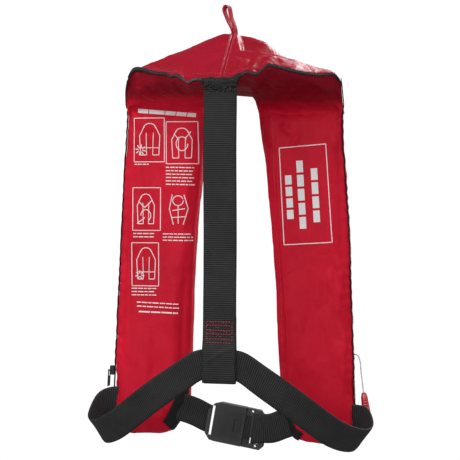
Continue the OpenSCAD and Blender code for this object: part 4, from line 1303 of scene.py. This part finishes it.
# ------------------------------------------------------------------ bladder and patches
def make_bladder():
    bladder = link(bpy.data.objects.new("bladder_folded", NODES["air_bladder"].data.copy()))
    remesh(bladder, 4.6)
    inflate(bladder, pressure=3.0, reach=2.6)
    subdivide(bladder)
    points, normals = get_points(bladder), vertex_normals(bladder)
    x, y, z = points.T
    x = np.abs(x)
    low = z < -112
    front = np.clip((normals[:, 1] - 0.3) / 0.4, 0, 1) * low
    height = 0.5 * fbm(points, (14, 20, 30), 3, 61.0)
    # folds down the front, a line round the edge, folds across
    for fold_x in (72, 96, 122):
        distance = x - fold_x - 3 * np.sin(z / 60.0 + fold_x)
        height += front * (0.7 * gauss(distance - 4, 3.0) - 1.7 * gauss(distance, 1.5))
    height -= 0.8 * low * gauss(y - 66, 1.4)
    for fold_z in (-170, -245, -330, -410, -485):
        line = [(52, fold_z), (90, fold_z - 7), (150, fold_z + 5)]
        height += front * crease(x, z, line, 4.0, -1.0)
    points += normals * height[:, None]
    points[:, 1] = np.minimum(points[:, 1], 79.2)
    # the upper part stays between the collar's top and underside
    top_tree, under_tree = tree_of(collar_top), tree_of(underside)
    for i in np.nonzero((points[:, 2] > -108) & (points[:, 1] < 82))[0]:
        x, y, z = points[i]
        above, _ = cast(top_tree, (x, y, 90), (0, 0, -1))
        below, _ = cast(under_tree, (x, y, -200), (0, 0, 1))
        if above is not None and z > above[2] - 4.0:
            points[i, 2] = above[2] - 4.0
        if below is not None and z < below[2] + 4.0:
            points[i, 2] = below[2] + 4.0
        behind, _ = cast(under_tree, (x, -100, points[i, 2]), FORWARD)
        if behind is not None and y < behind[1] + 3.5 and points[i, 2] < -60:
            points[i, 1] = behind[1] + 3.5
    set_points(bladder, points)
    bladder.data.materials.clear()
    bladder.data.materials.append(YELLOW_CLOTH)
    smooth_all(bladder.data)
    tell(bladder, "jacket", "bladder_fabric", "air_bladder")
    return bladder


bladder_tree = tree_of(make_bladder())
patches = []
for side, _ in SIDES:
    grid = np.zeros((13, 17, 3))
    for i, x in enumerate(np.linspace(59, 91, 13)):
        for j, z in enumerate(np.linspace(-151, -199, 17)):
            hit, _ = cast(bladder_tree, (side * x, 120, z), BACKWARD)
            grid[i, j] = (side * x, (hit[1] if hit is not None else 78) + 0.35, z)
    patches.append(shell("patch", grid, 0.35, REFLECTIVE, sign=side))
tell(join(patches, "reflective_patches_tape"), "jacket", "reflective_tape", "reflective_patches")

# ------------------------------------------------------------------ cords and toggle
pull_cord = cord("pull_cord_line", [
    (157, 61, -420), (162, 61, -418.3), (166, 61, -419.5), (169.2, 61, -425), (170.6, 61, -434),
    (172.4, 61, -450), (174.4, 61, -466), (174.9, 61, -472)], 0.95)
tell(pull_cord, "toggle", "cord", "pull_cord")

RING = 7.9  # radius of the turn at the top of the whistle cord
whistle_path = [(-138 + RING * math.cos(math.radians(a)), 65 + RING * math.sin(math.radians(a)),
                 -279 - 4 * (a + 20) / 340) for a in range(-20, 321, 20)]
whistle_path += [(-128.2, 64, -291), (-126, 64, -300), (-127.5, 65, -316), (-130.5, 65, -328),
                 (-133, 65, -331.6), (-139, 65, -332)]
tell(cord("whistle_cord_line", whistle_path, 0.9), "jacket", "cord", "whistle_cord")


def make_toggle():
    """flattened, tapered grip with ribs, tilted about y"""
    depths = [0, 2, 6, 20, 34, 39, 42]
    half_widths = [2.2, 3.4, 4.4, 5.5, 6.2, 5.4, 3.2]
    half_thicks = [1.7, 2.6, 3.3, 3.9, 4.3, 3.8, 2.2]
    rings, sides = 60, 28
    verts = []
    for z in np.linspace(0, -42, rings):
        width, thick = np.interp(-z, depths, half_widths), np.interp(-z, depths, half_thicks)
        groove = 0.32 * (0.5 - 0.5 * math.cos(2 * math.pi * (-z) / 4.2)) if -36 < z < -10 else 0.0
        for j in range(sides):
            cos, sin = math.cos(2 * math.pi * j / sides), math.sin(2 * math.pi * j / sides)
            verts.append((np.sign(cos) * abs(cos) ** 0.8 * (width - groove),
                          np.sign(sin) * abs(sin) ** 0.8 * (thick - groove), z))
    cos, sin = math.cos(math.radians(-8)), math.sin(math.radians(-8))
    tilt = np.array([[cos, 0, sin], [0, 1, 0], [-sin, 0, cos]])
    return mesh_obj("pull_toggle_grip", np.array(verts) @ tilt.T + [175, 61, -469],
                    ring_faces(rings, sides), TOGGLE)


tell(make_toggle(), "toggle", "toggle_plastic", "pull_toggle")


# ------------------------------------------------------------------ binding on the lobes
def edge_binding(name, line, body_width, side):
    """black strip folded over a lobe's lower inner edge; line is the (|x|, z) of the edge"""
    wrap, lift, cols = 10.0, 0.9, 15
    line = np.asarray(line, float)
    length = running_length(line)
    edge = lerp(np.arange(0, length[-1], 1.6), length, line)
    along = unit(np.gradient(edge, axis=0))
    normals = np.stack([along[:, 1], -along[:, 0]], 1)  # towards the mid-plane and down
    grid = np.zeros((len(edge), cols, 3))
    for i, (spot, out) in enumerate(zip(edge, normals)):
        for j, share in enumerate(np.linspace(0, 1, cols)):
            if share < 0.5:  # on the body-side face
                inward = body_width * (0.5 - share) / 0.5 + 4
                start = (side * (spot[0] - out[0] * inward), 0.0, spot[1] - out[1] * inward)
                direction = FORWARD
            else:
                y = 42.5 + wrap * (share - 0.5) / 0.5
                start = (side * (spot[0] + out[0] * 40), y, spot[1] + out[1] * 40)
                direction = (-side * out[0], 0, -out[1])
            hit, normal = cast(LOBE_TREE[side], start, direction, 200)
            if hit is None:
                hit, normal = np.array([side * spot[0], 44.0, spot[1]]), np.array(BACKWARD)
            grid[i, j] = hit + normal * lift
    for _ in range(6):  # relax the fold
        grid[1:-1, 1:-1] = 0.5 * grid[1:-1, 1:-1] + 0.125 * (
            grid[:-2, 1:-1] + grid[2:, 1:-1] + grid[1:-1, :-2] + grid[1:-1, 2:])
    tell(shell(name, grid, 0.9, ZIP_TAPE), "jacket", "zip_tape")


edge_binding("lobe_slot_binding_right", [(62, -497), (69, -511), (77, -526.5), (90, -534.5)],
             9.5, 1)
edge_binding("lobe_slot_binding_left",
             [(58.4, -462), (60, -486.5), (69, -505.5), (77, -521.5), (83, -526.5)], 13.0, -1)

# ------------------------------------------------------------------ printed marks
# marks are drawn in mm as u across and v up from an origin on the body-side faces, in a frame
# that leans slightly: x shifts with v, and z with u
MARK_X, MARK_Z = -0.40005, -248.6
LEAN_X, LEAN_Z = -0.00824897, 0.00749906


def place(*points):
    return [(u + MARK_X + LEAN_X * v, v + MARK_Z + LEAN_Z * u) for u, v in points]


def arc(u, v, radius_u, radius_v, start, end, count):
    """angles in degrees, clockwise from +u"""
    return place(*[(u + radius_u * math.cos(a), v - radius_v * math.sin(a))
                   for a in np.radians(np.linspace(start, end, count))])


def vest(u, v, width, height, belted):
    """outline of a folded vest"""
    def shape(*points):
        return place(*[(u + a * width, v + b * height) for a, b in points])

    strokes = [(shape((-0.36, -0.42), (-0.40, 0.12), (-0.22, 0.38)), 1.05),
               (shape((0.36, -0.42), (0.40, 0.12), (0.22, 0.38)), 1.05),
               (arc(u, v + height * 0.34, width * 0.23, height * 0.12, 180, 360, 8), 1.05),
               (shape((-0.14, 0.2), (-0.12, -0.42)), 0.9),
               (shape((0.14, 0.2), (0.12, -0.42)), 0.9),
               (shape((-0.36, -0.42), (-0.12, -0.42)), 1.05),
               (shape((0.12, -0.42), (0.36, -0.42)), 1.05)]
    if belted:
        strokes.append((shape((-0.38, -0.22), (0.38, -0.22)), 0.9))
    return strokes


def burst(u, v, radius, count):
    strokes = []
    for k in range(count):
        angle = 2 * math.pi * k / count + 0.2
        du, dv = radius * math.cos(angle), -radius * math.sin(angle)
        strokes.append((place((u + du * 0.35, v + dv * 0.35), (u + du, v + dv)), 1.3))
    return strokes


def mark_strip(tree, points, width, step):
    """points and faces of one thin printed line laid on the cloth, or None off the cloth"""
    points = np.asarray(points, float)
    line = []
    for start, end in zip(points[:-1], points[1:]):
        count = max(1, int(np.linalg.norm(end - start) / step))
        line += [start + (end - start) * k / count for k in range(count)]
    line = np.array(line + [points[-1]])
    along = unit(np.gradient(line, axis=0))
    sideways = np.stack([-along[:, 1], along[:, 0]], 1)
    cols = 2 if width < 2.2 else int(width / 1.4) + 2
    verts = []
    for spot, side in zip(line, sideways):
        hits = []
        for share in np.linspace(-0.5, 0.5, cols):
            x, z = spot + side * share * width
            hit, normal = cast(tree, (x, -10.0, z), FORWARD)
            if hit is None:
                return None
            hits.append((hit, normal))
        verts += [hit + normal * 0.22 for hit, normal in hits]
        verts += [hit - normal * 0.11 for hit, normal in hits]
    faces = []
    ring = 2 * cols
    for i in range(len(line) - 1):
        a, b = i * ring, i * ring + ring
        for j in range(cols - 1):
            faces += [(a + j, a + j + 1, b + j + 1, b + j),
                      (a + cols + j, b + cols + j, b + cols + j + 1, a + cols + j + 1)]
        faces += [(a, b, b + cols, a + cols),
                  (a + cols - 1, a + ring - 1, b + ring - 1, b + cols - 1)]
    last = len(verts) - ring
    for j in range(cols - 1):
        faces += [(j, cols + j, cols + j + 1, j + 1),
                  (last + j, last + j + 1, last + cols + j + 1, last + cols + j)]
    return np.array(verts), faces


def print_marks(name, tree, strokes, step):
    verts, faces, base = [], [], 0
    for points, width in strokes:
        strip = mark_strip(tree, points, width, step)
        if strip is None:
            continue
        verts.append(strip[0])
        faces += [tuple(i + base for i in face) for face in strip[1]]
        base += len(strip[0])
    marks = mesh_obj(name, np.concatenate(verts), faces, PRINT, smooth=False)
    tell(marks, "jacket", "cover_fabric")


# frames on the left lobe: left u, top v, right u, bottom v
FRAMES = [
    (-134.01675, 144.018, -92.0115, 85.344), (-89.3445, 138.684, -46.6725, 82.677),
    (-135.35025, 50.673, -97.3455, -6.6675), (-92.67825, 49.3395, -52.67325, -6.6675),
    (-136.68375, -23.33625, -100.0125, -81.3435)]
# broken bars in place of small print: start u, end u, first v, lines, pitch, height,
# (shortest, longest) word, fall per mm
BARS = [
    (-128.68275, -49.3395, 154.01925, 1, 0, 5.4, (12.0015, 21.336), 0.085),
    (-90.01125, -52.0065, 78.00975, 6, 4.5339, 1.35, (3.33375, 8.001), 0.02),
    (-133.35, -113.3475, 82.1436, 1, 0, 1.3, (3.33375, 6.6675), 0),
    (-134.6835, -106.01325, -10.9347, 2, 4.40055, 1.3, (3.33375, 8.001), 0),
    (-94.01175, -54.6735, -11.2014, 3, 4.2672, 1.3, (3.33375, 8.001), 0.01),
    (-137.3505, -103.34625, -84.8106, 3, 4.40055, 1.3, (3.33375, 8.001), 0),
    (-130.01625, -71.34225, -103.34625, 2, 5.334, 1.4, (4.0005, 9.3345), 0.04),
    (-127.34925, -74.00925, -116.0145, 1, 0, 1.9, (10.668, 16.002), 0.03)]
WORD_GAP, SHORTEST_REST = 1.20015, 2.00025

strokes = [(place((u0, v0), (u1, v0), (u1, v1), (u0, v1), (u0, v0)), 1.0)
           for u0, v0, u1, v1 in FRAMES]
strokes += vest(-112.014, 114.681, 34.671, 48.006, True) + burst(-124.68225, 101.346, 7.33425, 8)
strokes += vest(-68.0085, 109.347, 34.671, 45.339, False)
strokes += [(arc(-68.0085, 109.347, 8.001, 9.3345, 0, 320, 14), 1.1),
            (place((-78.6765, 122.682), (-72.009, 114.681)), 1.1),
            (place((-56.007, 125.349), (-62.6745, 117.348)), 1.1)]
strokes += vest(-117.348, 21.336, 29.337, 45.339, False)
strokes += [(place((-126.6825, 32.004), (-118.6815, 24.003), (-109.347, 33.3375)), 1.1),
            (arc(-117.348, 13.335, 6.6675, 8.001, 180, 420, 12), 1.1),
            (place((-129.3495, 2.667), (-118.6815, 10.668)), 1.1)]
# a standing figure
strokes += [(place((-81.3435, 41.3385), (-85.344, 22.6695), (-80.01, 1.3335)), 1.1),
            (place((-65.3415, 41.3385), (-60.0075, 22.6695), (-66.675, 1.3335)), 1.1),
            (arc(-73.3425, 33.3375, 7.33425, 6.6675, 0, 340, 12), 1.1),
            (place((-81.3435, 20.0025), (-64.008, 22.6695)), 1.1),
            (place((-82.677, 10.668), (-62.6745, 12.0015)), 1.1),
            (place((-73.3425, 26.67), (-73.3425, 2.667)), 1.05)]
strokes += vest(-117.348, -52.0065, 32.004, 48.006, True) + burst(-126.01575, -66.675, 6.1341, 7)
rng = np.random.default_rng(12)
for start, end, first_v, lines, pitch, height, words, fall in BARS:
    for k in range(lines):
        v = first_v - pitch * k
        u = start
        while u < end - SHORTEST_REST:
            stop = min(u + rng.uniform(*words), end)
            bar = place((u, v - fall * (u - start)), (stop, v - fall * (stop - start)))
            strokes.append((bar, height))
            u = stop + WORD_GAP
print_marks("lobe_marks_left", MARK_TREE[-1], strokes, step=2.2)

# right lobe: a frame round three upright bars, broken into blocks
strokes = [(place((62.6745, 102.9462), (124.0155, 108.14685), (132.8166, -21.0693),
                  (69.342, -24.8031), (62.6745, 102.9462)), 1.15)]
BLOCK, BLOCK_GAP, BAR_WIDTH, BAR_LEAN = 20, 3.06705, 8.6, 0.06
# u at the foot, v at the foot, v at the top
for foot_u, foot_v, top_v in ((78.00975, 9.3345, 70.00875), (94.6785, -3.33375, 89.3445),
                              (112.8141, 5.334, 79.34325)):
    levels = np.linspace(foot_v, top_v, int((top_v - foot_v) / BLOCK) + 2)
    for low, high in zip(levels[:-1], levels[1:] - BLOCK_GAP):
        block = place(*[(foot_u - BAR_LEAN * (v - foot_v), v) for v in (low, high)])
        strokes.append((block, BAR_WIDTH))
print_marks("lobe_marks_right", MARK_TREE[1], strokes, step=1.6)

# ------------------------------------------------------------------ sewn lines on the lobes
SEWN = dict(length=2.4, radius=0.3, gap=0.9)
for side, tag in SIDES:
    if side > 0:
        # down the inner side of the body-side face
        starts = [(np.interp(-z, -OUTLINE[:6, 1], OUTLINE[:6, 0]) + 9.5, 0, z)
                  for z in np.arange(-112, -500, -2.0)]
        row = stitch_row(*trace(LOBE_TREE[side], starts, FORWARD), SEAM_THREAD, **SEWN)
        tell(join([row], "lobe_seam_thread_" + tag), "jacket", "red_thread")
    rows = []
    for seam_x in (outer_seam_x, inner_seam_x):
        starts = [(side * seam_x(z), 140, z) for z in np.arange(-104, -508, -2.0)]
        rows.append(stitch_row(*trace(LOBE_TREE[side], starts, BACKWARD), SEAM_THREAD, **SEWN))
    tell(join(rows, "front_cover_thread_" + tag), "flap_" + tag, "red_thread")

for lobe in LOBES.values():
    bpy.data.objects.remove(lobe)

# ------------------------------------------------------------------ finishes on the CAD nodes
FINISHES = {
    "zip_slider": DARK_METAL, "zip_pull_tab": DARK_METAL, "oral_tube": RUBBER,
    "oral_valve_body": BLACK_PLASTIC, "oral_valve_poppet": WHITE_PLASTIC,
    "oral_valve_spring": STEEL, "oral_dust_cap": BLACK_PLASTIC, "whistle": ORANGE_PLASTIC,
    "manifold_stem": BLACK_PLASTIC, "manifold_nut": STEEL, "inflator_body": YELLOW_PLASTIC,
    "inflator_lever": RED_PLASTIC, "lever_pin": STEEL, "piercing_pin": STEEL,
    "piercing_spring": STEEL, "sensor_cap": YELLOW_PLASTIC, "sensor_bobbin": WHITE_PLASTIC,
    "gas_cylinder": CYLINDER_PAINT, "buckle_frame": BUCKLE, "buckle_tongue": BUCKLE,
    "buckle_button": RED_PLASTIC, "buckle_spring": STEEL}
for name, mat in FINISHES.items():
    node = NODES[name]
    node.data.materials.clear()
    node.data.materials.append(mat)


# ------------------------------------------------------------------ floor, world, lights, camera
def camera_switch(tree, output, unseen, seen):
    """one shader for camera rays and another for all other rays"""
    is_camera = add_node(tree, "LightPath").outputs["Is Camera Ray"]
    inputs = {0: is_camera, 1: unseen.outputs[0], 2: seen.outputs[0]}
    feed(tree, output.inputs[0], add_node(tree, "MixShader", inputs).outputs[0])


WHITE = (1, 1, 1)
BACKDROP = 1.05  # brightness of floor and world as the camera sees them
floor_mat = bpy.data.materials.new("floor")
floor_mat.use_nodes = True
tree = floor_mat.node_tree
tree.nodes.clear()
camera_switch(tree, add_node(tree, "OutputMaterial"),
              unseen=add_node(tree, "BsdfDiffuse", {0: (0.30, 0.30, 0.30)}),
              seen=add_node(tree, "Emission", {0: WHITE, 1: BACKDROP}))
mesh = bpy.data.meshes.new("floor")
mesh.from_pydata([(-40, -40, -0.95), (40, -40, -0.95), (40, 40, -0.95), (-40, 40, -0.95)], [],
                 [(0, 1, 2, 3)])
floor = link(bpy.data.objects.new("floor", mesh))
mesh.materials.append(floor_mat)

world = bpy.data.worlds.new("studio")
scene.world = world
world.use_nodes = True
tree = world.node_tree
tree.nodes.clear()
# the light falls off from the back of the jacket (-Y) to its front
generated = add_node(tree, "TexCoord").outputs["Generated"]
toward_front = add_node(tree, "SeparateXYZ", {0: generated}).outputs[1]
strength = map_range(tree, toward_front, (-0.35, 0.55), (0.80, 0.16))
camera_switch(tree, add_node(tree, "OutputWorld"),
              unseen=add_node(tree, "Background", {0: WHITE, 1: strength}),
              seen=add_node(tree, "Background", {0: WHITE, 1: BACKDROP}))


def area(name, location, target, size, power):
    light = bpy.data.lights.new(name, "AREA")
    light.energy = power
    light.shape = "RECTANGLE"
    light.size = light.size_y = size
    lamp = link(bpy.data.objects.new(name, light))
    lamp.location = location
    aim = Vector(target) - Vector(location)
    lamp.rotation_euler = aim.to_track_quat("-Z", "Y").to_euler()


area("key", (-1.3, -1.2, 1.25), (0, 0.02, -0.28), size=0.9, power=17)
area("low_fill", (-0.5, -2.4, -0.2), (0, 0, -0.32), size=1.6, power=12)
area("side", (1.7, -0.6, 0.5), (0.05, 0, -0.25), size=0.8, power=3.0)
area("rim_top", (0.70, 1.2, 1.0), (0.08, -0.03, -0.04), size=0.7, power=26)
area("front", (0.6, 2.2, 0.5), (0, 0, -0.25), size=1.3, power=9)

# the camera looks forward (+Y) at the jacket's back, turned and rolled slightly
azimuth, elevation, roll = (math.radians(a) for a in (8.907, 1.676, 0.478))
distance, target = 1.6518, Vector((0.002581, 0.0, -0.25307))
view = Vector((-math.sin(azimuth) * math.cos(elevation),
               math.cos(azimuth) * math.cos(elevation), -math.sin(elevation)))
level = Vector((math.cos(azimuth), math.sin(azimuth), 0))
upright = level.cross(view)
right = level * math.cos(roll) + upright * math.sin(roll)
top = -level * math.sin(roll) + upright * math.cos(roll)
camera_data = bpy.data.cameras.new("cam")
camera_data.sensor_width = 36.0
camera_data.lens = 99.4382609
camera_data.clip_start = 0.05
camera_data.clip_end = 200
camera = link(bpy.data.objects.new("cam", camera_data))
matrix = Matrix((right, top, -view)).transposed().to_4x4()
matrix.translation = target - view * distance
camera.matrix_world = matrix
scene.camera = camera
scene.view_settings.view_transform = "Standard"
scene.view_settings.look = "None"
